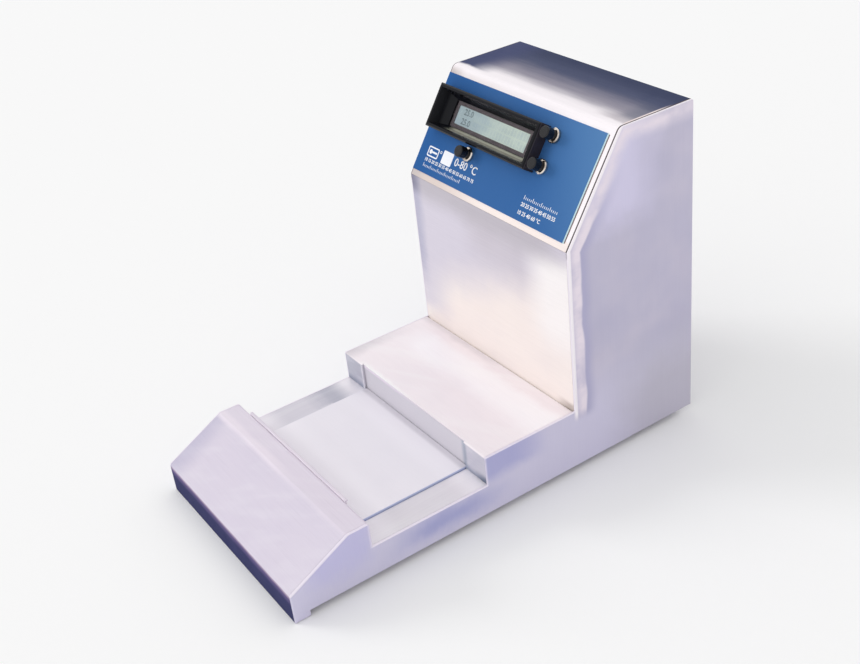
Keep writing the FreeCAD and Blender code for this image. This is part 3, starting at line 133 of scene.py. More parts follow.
class Tone:
    """A number that varies over a surface, written with Python's own operators."""

    def __init__(self, graph: "Graph", socket: bpy.types.NodeSocket) -> None:
        """Wrap one output socket of a graph."""
        self.graph = graph
        self.socket = socket

    def __add__(self, other: "Tone | float") -> "Tone":
        """Add."""
        return self.graph.maths("ADD", self, other)

    def __sub__(self, other: "Tone | float") -> "Tone":
        """Take away."""
        return self.graph.maths("SUBTRACT", self, other)

    def __rsub__(self, other: "Tone | float") -> "Tone":
        """Take this from a number."""
        return self.graph.maths("SUBTRACT", other, self)

    def __mul__(self, other: "Tone | float") -> "Tone":
        """Multiply."""
        return self.graph.maths("MULTIPLY", self, other)

    def __truediv__(self, other: "Tone | float") -> "Tone":
        """Divide."""
        return self.graph.maths("DIVIDE", self, other)

    def __rtruediv__(self, other: "Tone | float") -> "Tone":
        """Divide a number by this."""
        return self.graph.maths("DIVIDE", other, self)

    def __or__(self, other: "Tone | float") -> "Tone":
        """Join two masks: the larger of the two."""
        return self.graph.maths("MAXIMUM", self, other)

    def __and__(self, other: "Tone | float") -> "Tone":
        """Cross two masks: the smaller of the two."""
        return self.graph.maths("MINIMUM", self, other)

    def __abs__(self) -> "Tone":
        """Drop the sign."""
        return self.graph.maths("ABSOLUTE", self, 0.0)

    __radd__ = __add__
    __rmul__ = __mul__
    __ror__ = __or__
    __rand__ = __and__

    def fade(self, start: float, end: float) -> "Tone":
        """Rise softly from 0 at start to 1 at end.

        Args:
            start: The value that gives 0.
            end: The value that gives 1, which may be the smaller.

        Returns:
            The mask.
        """
        ends = {"From Min": min(start, end), "From Max": max(start, end)}
        settings = {"interpolation_type": "SMOOTHSTEP"}
        node = self.graph.node("ShaderNodeMapRange", settings, {"Value": self, **ends})
        climb = Tone(self.graph, node.outputs["Result"])
        return climb if start <= end else 1 - climb

    def wave(self, period: float) -> "Tone":
        """Swing between 0 and 1 once every period."""
        return self.graph.maths("SINE", self * (math.tau / period), 0.0) * 0.5 + 0.5

    def wrap(self, period: float) -> "Tone":
        """Count from 0 to 1 again and again, once every period."""
        return self.graph.maths("FRACT", self / period, 0.0)


Inputs = dict[str | int, Tone | bpy.types.NodeSocket | tuple | float]


class Graph:
    """The node tree of one finish, or of the world."""

    def __init__(self, tree: bpy.types.NodeTree, coordinates: str = "Object") -> None:
        """Start with an empty tree whose patterns read the given coordinates.

        Args:
            tree: The tree to fill.
            coordinates: The output of the Texture Coordinate node that places the patterns.
        """
        self.tree = tree
        self.tree.nodes.clear()
        self.place = self.node("ShaderNodeTexCoord").outputs[coordinates]
        split = self.node("ShaderNodeSeparateXYZ", {}, {"Vector": self.place})
        self.along = {axis: Tone(self, split.outputs[axis.value]) for axis in Axis}

    def node(self, kind: str, settings: dict | None = None, sockets: Inputs | None = None) -> bpy.types.Node:
        """Add one node.

        Args:
            kind: The node's type.
            settings: Its own settings, which are set first.
            sockets: Values, tones or sockets for its inputs, by name or number.

        Returns:
            The node.
        """
        node = self.tree.nodes.new(kind)
        for name, setting in (settings or {}).items():
            setattr(node, name, setting)
        for name, value in (sockets or {}).items():
            source = value.socket if isinstance(value, Tone) else value
            if isinstance(source, bpy.types.NodeSocket):
                self.tree.links.new(source, node.inputs[name])
            else:
                node.inputs[name].default_value = source
        return node

    def maths(self, operation: str, first: Tone | float, second: Tone | float) -> Tone:
        """Add one Math node and give its result."""
        node = self.node("ShaderNodeMath", {"operation": operation}, {0: first, 1: second})
        return Tone(self, node.outputs[0])

    def reach(self, way: Triple) -> Tone:
        """Measure how far along a direction a place lies, in millimetres."""
        shares = [self.along[axis] * (part / MM) for axis, part in zip(Axis, way) if part]
        return sum(shares[1:], shares[0])

    def noise(
        self,
        pitch: float | Triple,
        detail: float = 3.0,
        rough: float = 0.55,
        shift: float = 0.0,
        turn: float = 0.0,
    ) -> Tone:
        """Add a cloud pattern.

        Args:
            pitch: The size of one cloud, or its size along each axis, in millimetres.
            detail: How many finer layers it has.
            rough: How strong the finer layers are.
            shift: Moves the pattern, so that two of them differ, in metres.
            turn: Turns the pattern about the vertical, in degrees.

        Returns:
            A tone around one half.
        """
        sizes = pitch if isinstance(pitch, tuple) else (pitch, pitch, pitch)
        layout = {
            "Vector": self.place,
            "Scale": tuple(size * MM for size in sizes),
            "Location": (shift, shift, shift),
            "Rotation": (0.0, 0.0, math.radians(turn)),
        }
        spot = self.node("ShaderNodeMapping", {"vector_type": "TEXTURE"}, layout).outputs[0]
        recipe = {"Vector": spot, "Scale": 1.0, "Detail": detail, "Roughness": rough}
        return Tone(self, self.node("ShaderNodeTexNoise", {}, recipe).outputs["Fac"])

    def grains(self, pitch: float) -> Tone:
        """Add a pattern of small round cells, dark at each cell's middle."""
        cell = self.node("ShaderNodeTexVoronoi", {}, {"Vector": self.place, "Scale": 1 / (pitch * MM)})
        return Tone(self, cell.outputs["Distance"])

    def mix(self, share: Tone, first: Shade, second: Shade, blend: Blend = Blend.MIX) -> bpy.types.NodeSocket:
        """Lay one colour over another.

        Args:
            share: How much of the second colour there is, 0 to 1.
            first: The colour below.
            second: The colour above.
            blend: How the second acts on the first.

        Returns:
            The colour socket.
        """
        factor, below, above, result = 0, 6, 7, 2
        settings = {"data_type": "RGBA", "blend_type": blend.value}
        node = self.node("ShaderNodeMix", settings, {factor: share, below: first, above: second})
        return node.outputs[result]

    def bump(self, height: Tone, depth: float, strength: float = 1.0) -> bpy.types.NodeSocket:
        """Turn a height into a relief that is depth metres deep."""
        node = self.node("ShaderNodeBump", {}, {"Height": height, "Distance": depth, "Strength": strength})
        return node.outputs["Normal"]

    def close(self, sockets: Inputs) -> None:
        """Finish with one principled shader that takes the given sockets."""
        shader = self.node("ShaderNodeBsdfPrincipled", {}, sockets)
        self.node("ShaderNodeOutputMaterial", {}, {"Surface": shader.outputs[0]})


@dataclass(frozen=True)
class Reach:
    """A soft edge across one direction of the part's frame, in millimetres: 0 at start, 1 at end."""

    way: Triple
    start: float
    end: float


def span(start: float, end: float) -> Reach:
    """Give a soft edge across the part's width."""
    return Reach(ACROSS, start, end)


def run(start: float, end: float) -> Reach:
    """Give a soft edge across the part's length."""
    return Reach(DEEP, start, end)


def rise(start: float, end: float) -> Reach:
    """Give a soft edge across the part's height."""
    return Reach(UP, start, end)


@dataclass(frozen=True)
class Wash:
    """A colour laid over a surface where all of its reaches meet, with a ragged or a smooth edge; many washes
    here are painted light, painted shade or painted reflections.
    """

    shade: Paint
    reaches: tuple[Reach, ...]
    share: float = 1.0
    ragged: float = 0.0
    pitch: float | Triple = 28.0
    coat: float = 0.0

    def mask(self, graph: Graph) -> Tone:
        """Give the share of this shade at each place.

        Args:
            graph: The finish's graph.

        Returns:
            The mask, 0 where the shade is absent.
        """
        first_shift, next_shift = 0.1, 0.3
        cover = None
        for number, reach in enumerate(self.reaches):
            distance = graph.reach(reach.way)
            if self.ragged:
                drift = graph.noise(self.pitch, 4, 0.6, next_shift * number + first_shift)
                distance = distance + (drift - 0.5) * (self.ragged * 2)
            edge = distance.fade(reach.start, reach.end)
            cover = edge if cover is None else cover * edge
        return cover * self.share


@dataclass(frozen=True)
class Finish:
    """A finish of the part, which fills one material."""

    name: str

    def make(self) -> bpy.types.Material:
        """Build the material.

        Returns:
            The material, with one principled shader.
        """
        material = bpy.data.materials.new(self.name)
        material.use_nodes = True
        graph = Graph(material.node_tree)
        graph.close(self.weave(graph))
        return material

    def weave(self, graph: Graph) -> Inputs:
        """Give what the shader's sockets take, which each finish says for itself."""
        raise NotImplementedError


@dataclass(frozen=True)
class BrushedSheet(Finish):
    """Satin stainless sheet: brush lines, soft clouds, washes that are often painted light and shade, and
    faint handling marks.
    """

    shade: Paint
    grain: Axis
    washes: tuple[Wash, ...] = ()
    metallic: float = 0.4
    roughness: float = 0.42
    blush: Paint = (240, 228, 232)
    chill: Paint = (160, 160, 194)
    scratch: Paint = (84, 86, 108)
    mottle: float = 0.2
    line: float = 0.05
    streak: float = 0.0
    turn: float = 0.0
    lift: float = 1.0
    specular: float = 0.4

    def stretch(self, along: float, across: float) -> Triple:
        """Give the size of a pattern that is long along the brush lines."""
        return tuple(along if axis is self.grain else across for axis in Axis)

    def tint(self, graph: Graph) -> bpy.types.NodeSocket:
        """Lay the washes over the sheet's own shade and vary it by clouds, streaks and brush lines.

        Args:
            graph: The finish's graph.

        Returns:
            The colour socket.
        """
        warm = graph.noise(44, detail=2, rough=0.5, shift=0.2).fade(0.42, 0.78)
        cold = graph.noise(58, detail=2, rough=0.5, shift=0.5).fade(0.42, 0.78)
        colour = graph.mix(warm * self.mottle, paint(self.shade, self.lift), paint(self.blush))
        colour = graph.mix(cold * self.mottle, colour, paint(self.chill))
        for wash in self.washes:
            colour = graph.mix(wash.mask(graph), colour, paint(wash.shade, self.lift))
        if self.streak:
            long_smear = self.stretch(150, 11)
            smear = graph.noise(long_smear, rough=0.5, shift=0.7, turn=self.turn).fade(0.45, 0.7)
            colour = graph.mix(smear * self.streak, colour, paint(WHITE), Blend.OVERLAY)
        lines = graph.noise(self.stretch(90, 0.7), detail=2, rough=0.5, shift=0.9).fade(0.3, 0.75)
        colour = graph.mix(lines * self.line, colour, paint(WHITE), Blend.OVERLAY)
        fine = graph.noise(self.stretch(24, 0.35), detail=1, rough=0.5, shift=0.4).fade(0.45, 0.8)
        return graph.mix(fine * self.line, colour, paint(self.scratch), Blend.MULTIPLY)

    def weave(self, graph: Graph) -> Inputs:
        """Give the sheet its colour, its smudged gloss and a relief of brush lines on a slight wave.

        Args:
            graph: The finish's graph.

        Returns:
            What the shader's sockets take.
        """
        smudge = graph.noise(38, detail=4, rough=0.6, shift=0.8).fade(0.42, 0.72)
        lines = graph.noise(self.stretch(60, 0.3), detail=2, rough=0.5, shift=0.6)
        wavy = graph.noise(55, detail=1, rough=0.5, shift=1.1)
        return {
            "Base Color": self.tint(graph),
            "Metallic": self.metallic,
            "Roughness": smudge * 0.12 + lines * 0.08 + (self.roughness - 0.08),
            "Specular IOR Level": self.specular,
            "Normal": graph.bump(lines * 0.03 + wavy, 0.0004, 0.5),
        }


@dataclass(frozen=True)
class SideSheet(BrushedSheet):
    """The side panels' sheet: as the others, with the ground weld along the head's edges, painted shade
    inside it and a painted edge highlight.
    """

    ground: Paint = (230, 220, 230)
    # Painted shade just inside the ground band
    hollow: Paint = (172, 169, 198)
    # Painted highlight on the rounded edge
    polished: Paint = (255, 249, 254)
    seam: Paint = (92, 82, 84)
    band: float = 12.0
    wander: float = 6.0
    crisp: float = 1.2
    soft: float = 5.0
    top: float = 276.8
    inside: float = 100.0

    def tint(self, graph: Graph) -> bpy.types.NodeSocket:
        """Add the ground band, brightened on its inner side by a painted highlight, painted shade just inside
        it, the painted edge highlight and the joint line along the head's outline.

        Args:
            graph: The finish's graph.

        Returns:
            The colour socket.
        """
        colour = super().tint(graph)
        lean = math.radians(FACE_TILT)
        deep, tall = graph.reach(DEEP), graph.reach(UP)
        front = deep - HEAD_FRONT
        slope = front * math.cos(lean) - (tall - KINK) * math.sin(lean)
        crown = self.top - tall
        upper = slope & (crown + 1.5)
        in_head = tall.fade(DECK - 12.0, DECK - 2.0) * front.fade(-2.0, 1.0)
        drift = (graph.noise((26, 26, 40), detail=2, rough=0.5, shift=0.2) - 0.5) * self.wander
        inward = (front & upper) + drift - self.band
        # Painted shade in a band just inside the ground band
        hollow = inward.fade(self.band, 0.0) * crown.fade(20.0, 90.0) * in_head
        colour = graph.mix(hollow, colour, paint(self.hollow, self.lift))
        patch = graph.noise((30, 30, 22), rough=0.6, shift=0.9).fade(0.22, 0.62) * 0.6 + 0.4
        blur = crown.fade(75.0, 25.0) * self.soft + self.crisp
        # The ground band is a real ground finish; a painted highlight brightens it towards its inner side
        inner_highlight = inward.fade(-self.band, -4.0) * 0.5 + 0.5
        ground = (inward / blur).fade(1.0, -1.0) * patch * inner_highlight * in_head
        colour = graph.mix(ground, colour, paint(self.ground, self.lift))
        # Painted highlight along the rounded edge
        polished = ((front & upper * 1.4) + drift * 0.1).fade(3.4, 2.0) * in_head
        colour = graph.mix(polished, colour, paint(self.polished))
        outward = abs(graph.reach(ACROSS))
        joint = outward.fade(self.inside + 0.55, self.inside + 0.3) * upper.fade(4.0, 2.0) * in_head
        return graph.mix(joint, colour, paint(self.seam))


@dataclass(frozen=True)
class PrintedFilm(Finish):
    """Blue printed film: an even fine texture under a satin surface, a little worn, with a painted sheen
    towards the upper right.
    """

    shade: Paint
    faded: Paint
    deep: Paint

    def weave(self, graph: Graph) -> Inputs:
        """Paint a sheen on the film towards the upper right and deepen it towards the left.

        Args:
            graph: The finish's graph.

        Returns:
            What the shader's sockets take.
        """
        upper_right = (0.8, 0.0, 0.6)
        clouds = graph.noise((45, 30, 30)).fade(0.3, 0.7)
        right = graph.reach(upper_right).fade(160.0, 250.0)
        left = graph.reach(ACROSS).fade(-20.0, -98.0)
        pebble = graph.grains(0.35)
        colour = graph.mix(clouds * 0.12, paint(self.shade), paint(self.deep))
        colour = graph.mix(left * 0.9, colour, paint(self.deep))
        # Painted sheen towards the upper right
        colour = graph.mix(right, colour, paint(self.faded))
        colour = graph.mix(pebble.fade(0.1, 0.7) * 0.06, colour, paint(self.deep))
        return {
            "Base Color": colour,
            "Roughness": clouds * 0.08 + 0.42,
            "Specular IOR Level": 0.1,
            "Normal": graph.bump(pebble, 0.00005, 0.5),
        }


@dataclass(frozen=True)
class Moulding(Finish):
    """Moulded plastic, rubber or ink: a fine spark texture, faint flow clouds and rubbed high spots."""

    shade: Paint
    worn: Paint
    roughness: float
    pitch: float = 0.5
    relief: float = 0.00004
    specular: float = 0.5
    washes: tuple[Wash, ...] = ()

    def weave(self, graph: Graph) -> Inputs:
        """Lay wear and the washes over the moulding's shade.

        Args:
            graph: The finish's graph.

        Returns:
            What the shader's sockets take.
        """
        spark = graph.grains(self.pitch)
        flow = graph.noise(16).fade(0.35, 0.75)
        rubbed = graph.noise(5, detail=4, rough=0.65, shift=0.4).fade(0.55, 0.8)
        colour = graph.mix(rubbed * 0.35 + flow * 0.15, paint(self.shade), paint(self.worn))
        coat = 0.0
        for wash in self.washes:
            mask = wash.mask(graph)
            colour = graph.mix(mask, colour, paint(wash.shade))
            coat = mask * wash.coat + coat
        return {
            "Base Color": colour,
            "Roughness": flow * 0.08 - rubbed * 0.05 + self.roughness,
            "Specular IOR Level": self.specular,
            "Coat Weight": coat,
            "Normal": graph.bump(spark, self.relief, 0.6),
        }


@dataclass(frozen=True)
class TurnedMetal(Finish):
    """Plated or cast metal: fine grain, tarnish in patches, which on the button nuts stands for painted
    shade, and a soft relief.
    """

    shade: Paint
    tarnish: Paint
    roughness: float
    metallic: float = 1.0
    pitch: float = 0.6
    share: float = 0.35

    def weave(self, graph: Graph) -> Inputs:
        """Lay tarnish over the metal in patches and in its grain, on the button nuts as painted shade.

        Args:
            graph: The finish's graph.

        Returns:
            What the shader's sockets take.
        """
        patch = graph.noise(9, detail=4, rough=0.6).fade(0.4, 0.75)
        grain = graph.noise(self.pitch, detail=2, shift=3.0)
        colour = graph.mix(patch * self.share, paint(self.shade), paint(self.tarnish))
        colour = graph.mix(grain.fade(0.4, 0.7) * 0.12, colour, paint(self.tarnish))
        return {
            "Base Color": colour,
            "Metallic": self.metallic,
            "Roughness": patch * 0.12 + grain * 0.06 + (self.roughness - 0.06),
            "Normal": graph.bump(grain, 0.00003, 0.5),
        }


@dataclass(frozen=True)
class CharacterGlass(Finish):
    """A reflective character display: two rows of faint cells on grey-green glass."""

    glass: Paint
    cell: Paint
    shade: Paint
    start: float
    pitch: float
    middle: float
    half: float

    def weave(self, graph: Graph) -> Inputs:
        """Lay the cells over the glass, darker towards the left, and make it glow with painted light.

        Args:
            graph: The finish's graph.

        Returns:
            What the shader's sockets take.
        """
        across = (graph.reach(ACROSS) - self.start).wrap(self.pitch)
        column = across.fade(0.08, 0.2) * across.fade(0.92, 0.8)
        height = abs(graph.reach(UP) - self.middle)
        row = height.fade(0.35, 0.9) * height.fade(self.half - 0.2, self.half - 0.9)
        clouds = graph.noise((14, 8, 8)).fade(0.3, 0.7)
        left = graph.reach(ACROSS).fade(0.0, -68.0)
        colour = graph.mix(left * 0.75 + clouds * 0.2, paint(self.glass), paint(self.shade))
        colour = graph.mix(column * row * (clouds * 0.3 + 0.12), colour, paint(self.cell))
        return {
            "Base Color": colour,
            "Roughness": clouds * 0.08 + 0.4,
            "Specular IOR Level": 0.2,
            # Painted light: the display glows, though it is a reflective one with no lamp behind it
            "Emission Color": colour,
            "Emission Strength": 0.55,
        }


@dataclass(frozen=True)
class ClearPane(Finish):
    """A clear acrylic pane: almost nothing face on, a little gloss towards the edge of sight."""

    shade: Paint
    cover: float = 0.02
    index: float = 1.49

    def weave(self, graph: Graph) -> Inputs:
        """Make the pane clear, but for its rim and faint smears.

        Args:
            graph: The finish's graph.

        Returns:
            What the shader's sockets take.
        """
        rim = Tone(graph, graph.node("ShaderNodeFresnel", {}, {"IOR": self.index}).outputs[0])
        smear = graph.noise((20, 14, 14)).fade(0.4, 0.75)
        return {
            "Base Color": paint(self.shade),
            "Roughness": smear * 0.08 + 0.05,
            "Alpha": rim * 0.25 + smear * 0.02 + self.cover,
            "IOR": self.index,
        }


@dataclass(frozen=True)
class CircuitBoard(Finish):
    """Green solder mask with copper runs below it and rows of tinned pads."""

    mask: Paint
    copper: Paint
    pad: Paint = (206, 200, 186)
    pad_pitch: float = 2.54
    row_pitch: float = 10.16

    def weave(self, graph: Graph) -> Inputs:
        """Lay copper runs and tinned pads over the mask.

        Args:
            graph: The finish's graph.

        Returns:
            What the shader's sockets take.
        """
        across = graph.reach(ACROSS)
        rest = graph.reach((0.0, 1.0, 1.0))
        stray = graph.noise(18, detail=1) * 9.0
        runs = (across + stray).wave(1.6).fade(0.72, 0.9) & (rest + stray).wave(13.0).fade(0.3, 0.5)
        pads = across.wave(self.pad_pitch).fade(0.82, 0.92) & rest.wave(self.row_pitch).fade(0.9, 0.97)
        colour = graph.mix(runs * 0.7, paint(self.mask), paint(self.copper))
        return {
            "Base Color": graph.mix(pads, colour, paint(self.pad)),
            "Metallic": pads * 0.9,
            "Roughness": 0.4 - pads * 0.12,
            "Normal": graph.bump(runs | pads, 0.00005, 0.6),
        }


@dataclass(frozen=True)
class Striped(Finish):
    """A material of thin layers or strands: laminations, ribbon wires or a wound sleeve."""

    shade: Paint
    line: Paint
    axis: Axis
    period: float
    roughness: float
    metallic: float = 0.0
    relief: float = 0.0001

    def weave(self, graph: Graph) -> Inputs:
        """Draw a dark line between every two layers.

        Args:
            graph: The finish's graph.

        Returns:
            What the shader's sockets take.
        """
        layers = (graph.along[self.axis] * (1 / MM)).wave(self.period)
        dirt = graph.noise(8).fade(0.4, 0.75)
        colour = graph.mix(layers.fade(0.35, 0.15) * 0.8, paint(self.shade), paint(self.line))
        return {
            "Base Color": graph.mix(dirt * 0.25, colour, paint(self.line)),
            "Metallic": self.metallic,
            "Roughness": dirt * 0.12 + self.roughness,
            "Normal": graph.bump(layers, self.relief, 0.7),
        }


@dataclass(frozen=True)
class FloorPaper(Finish):
    """Plain pale paper, almost even."""

    shade: Paint
    cloud: Paint

    def weave(self, graph: Graph) -> Inputs:
        """Give the paper faint wide clouds.

        Args:
            graph: The finish's graph.

        Returns:
            What the shader's sockets take.
        """
        clouds = graph.noise(400, detail=2).fade(0.3, 0.7)
        colour = graph.mix(clouds * 0.05, paint(self.shade), paint(self.cloud))
        return {"Base Color": colour, "Roughness": 0.9, "Specular IOR Level": 0.0}


class Bench:
    """Hand tools that model a new piece with Blender's own operators."""

    @staticmethod
    def clear() -> None:
        """Deselect everything, so that an operator acts on the new piece alone."""
        if bpy.context.object and bpy.context.object.mode != "OBJECT":
            bpy.ops.object.mode_set(mode="OBJECT")
        bpy.ops.object.select_all(action="DESELECT")

    @staticmethod
    def pick(piece: bpy.types.Object) -> None:
        """Select one piece alone.

        Args:
            piece: The piece.
        """
        Bench.clear()
        piece.select_set(True)
        bpy.context.view_layer.objects.active = piece

    @staticmethod
    def open_mesh() -> None:
        """Start to edit the active piece, with all of its mesh selected."""
        bpy.ops.object.mode_set(mode="EDIT")
        bpy.ops.mesh.select_all(action="SELECT")

    @staticmethod
    def close_mesh() -> bpy.types.Object:
        """End the editing and give the piece back."""
        bpy.ops.object.mode_set(mode="OBJECT")
        return bpy.context.object

    @staticmethod
    def settle() -> None:
        """Keep the active piece's place, turn and scale in its mesh."""
        bpy.ops.object.transform_apply(location=True, rotation=True, scale=True)

    @staticmethod
    def size(width: float, height: float) -> None:
        """Give the active unit square its size, in millimetres."""
        bpy.context.object.scale = (width * MM, height * MM, 1.0)
        Bench.settle()

    @staticmethod
    def hollow(band: float) -> None:
        """Leave only a band along the rim of the flat face that is being edited, in millimetres."""
        bpy.ops.mesh.inset(thickness=band * MM)
        bpy.ops.mesh.delete(type="FACE")

    @staticmethod
    def bar(width: float, height: float, corner: float, band: float = 0.0) -> bpy.types.Object:
        """Model a flat bar, or a flat frame, with rounded corners, centred on the origin.

        Args:
            width: Its size along X, in millimetres.
            height: Its size along Y.
            corner: The radius of its corners.
            band: The width of the frame's band, or 0 for a filled bar.

        Returns:
            The bar's object.
        """
        Bench.clear()
        bpy.ops.mesh.primitive_plane_add(size=1.0)
        Bench.size(width, height)
        Bench.open_mesh()
        bpy.ops.mesh.bevel(offset=corner * MM, segments=4, affect="VERTICES")
        if band:
            bpy.ops.mesh.select_all(action="SELECT")
            Bench.hollow(band)
        return Bench.close_mesh()

    @staticmethod
    def ring(radius: float, band: float, sides: int = 40) -> bpy.types.Object:
        """Model a flat ring, or a disc where the band is the whole radius, centred on the origin.

        Args:
            radius: The outer radius, in millimetres.
            band: The width of its band.
            sides: How many sides its circle has.

        Returns:
            The ring's object.
        """
        Bench.clear()
        bpy.ops.mesh.primitive_circle_add(vertices=sides, radius=radius * MM, fill_type="NGON")
        Bench.open_mesh()
        if band < radius:
            Bench.hollow(band)
        return Bench.close_mesh()

    @staticmethod
    def words(text: str, height: float) -> bpy.types.Object:
        """Set plain figures as a flat mesh that starts at the origin.

        Args:
            text: The figures.
            height: The height of a figure, in millimetres.

        Returns:
            The object, already a mesh.
        """
        cap_share, weight = 0.69, 0.12
        Bench.clear()
        bpy.ops.object.text_add()
        letters = bpy.context.object.data
        letters.body = text
        letters.size = height * MM / cap_share
        letters.resolution_u = 3
        letters.offset = weight * MM
        bpy.ops.object.convert(target="MESH")
        return bpy.context.object

    @staticmethod
    def copy(piece: bpy.types.Object) -> bpy.types.Object:
        """Copy a piece with its own mesh.

        Args:
            piece: The piece to copy.

        Returns:
            The copy.
        """
        Bench.pick(piece)
        bpy.ops.object.duplicate(linked=False)
        return bpy.context.object

    @staticmethod
    def place(piece: bpy.types.Object, matrix: Matrix) -> bpy.types.Object:
        """Set a piece in its place and keep the place in its mesh.

        Args:
            piece: The piece, at the origin.
            matrix: Its place.

        Returns:
            The same piece.
        """
        Bench.pick(piece)
        piece.matrix_world = matrix
        Bench.settle()
        return piece

    @staticmethod
    def shift(piece: bpy.types.Object, across: float, up: float) -> bpy.types.Object:
        """Move a flat mark in its own plane, in millimetres, and give it back."""
        return Bench.place(piece, Matrix.Translation((across * MM, up * MM, 0.0)))

    @staticmethod
    def join(pieces: list[bpy.types.Object], name: str, thick: float) -> bpy.types.Object:
        """Join flat marks into one piece that rises from z = 0.

        Args:
            pieces: The flat marks, drawn in the XY plane.
            name: The piece's name.
            thick: How far they rise, in millimetres, or 0 for a flat sheet.

        Returns:
            The piece.
        """
        Bench.pick(pieces[0])
        for piece in pieces:
            piece.select_set(True)
        if len(pieces) > 1:
            bpy.ops.object.join()
        joined = bpy.context.object
        joined.name = name
        joined.data.name = name
        Bench.open_mesh()
        bpy.ops.mesh.remove_doubles(threshold=1e-6)
        if thick:
            bpy.ops.mesh.extrude_region_move(TRANSFORM_OT_translate={"value": (0, 0, thick * MM)})
            Bench.face_outwards()
        return Bench.close_mesh()

    @staticmethod
    def face_outwards() -> None:
        """Turn all faces of the mesh that is being edited outwards."""
        bpy.ops.mesh.select_all(action="SELECT")
        bpy.ops.mesh.normals_make_consistent(inside=False)

    @staticmethod
    def press(piece: bpy.types.Object, ground: bpy.types.Object, thick: float) -> None:
        """Press a flat mark along -Y onto a solid and give it a thickness.

        Args:
            piece: The mark, behind the solid.
            ground: The solid.
            thick: The mark's thickness, in millimetres.
        """
        clear_of_ground = 0.2
        Bench.pick(piece)
        wrap = piece.modifiers.new("wrap", "SHRINKWRAP")
        wrap.target = ground
        wrap.wrap_method = "PROJECT"
        wrap.use_project_y = True
        wrap.use_negative_direction = True
        wrap.use_positive_direction = False
        wrap.offset = clear_of_ground * thick * MM
        solid = piece.modifiers.new("solid", "SOLIDIFY")
        solid.thickness = thick * MM
        solid.offset = 1.0
        for modifier in (wrap.name, solid.name):
            bpy.ops.object.modifier_apply(modifier=modifier)
        Bench.open_mesh()
        Bench.face_outwards()
        Bench.close_mesh()


@dataclass
class Assembly:
    """A group of pieces that are finished together."""

    nodes: dict[str, bpy.types.Object]

    def dress(self, finish: Finish, *names: str) -> None:
        """Give one finish to the named solids and report each of them.

        Args:
            finish: The finish.
            names: The solids' names.
        """
        material = finish.make()
        for name in names:
            mesh = self.nodes[name].data
            mesh.materials.clear()
            mesh.materials.append(material)
            LOG.info("%s: %s", name, finish.name)

    def adopt(self, piece: bpy.types.Object, finish: Finish, body: Body, slot: Slot) -> None:
        """Finish a new piece, let it ride on a body and report it.

        Args:
            piece: The modelled piece, at the origin.
            finish: Its finish.
            body: The body that it moves with.
            slot: Not used.
        """
        piece.data.materials.clear()
        piece.data.materials.append(finish.make())
        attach(piece, body.value)
        LOG.info("%s: %s, new, on %s", piece.name, finish.name, body.value)


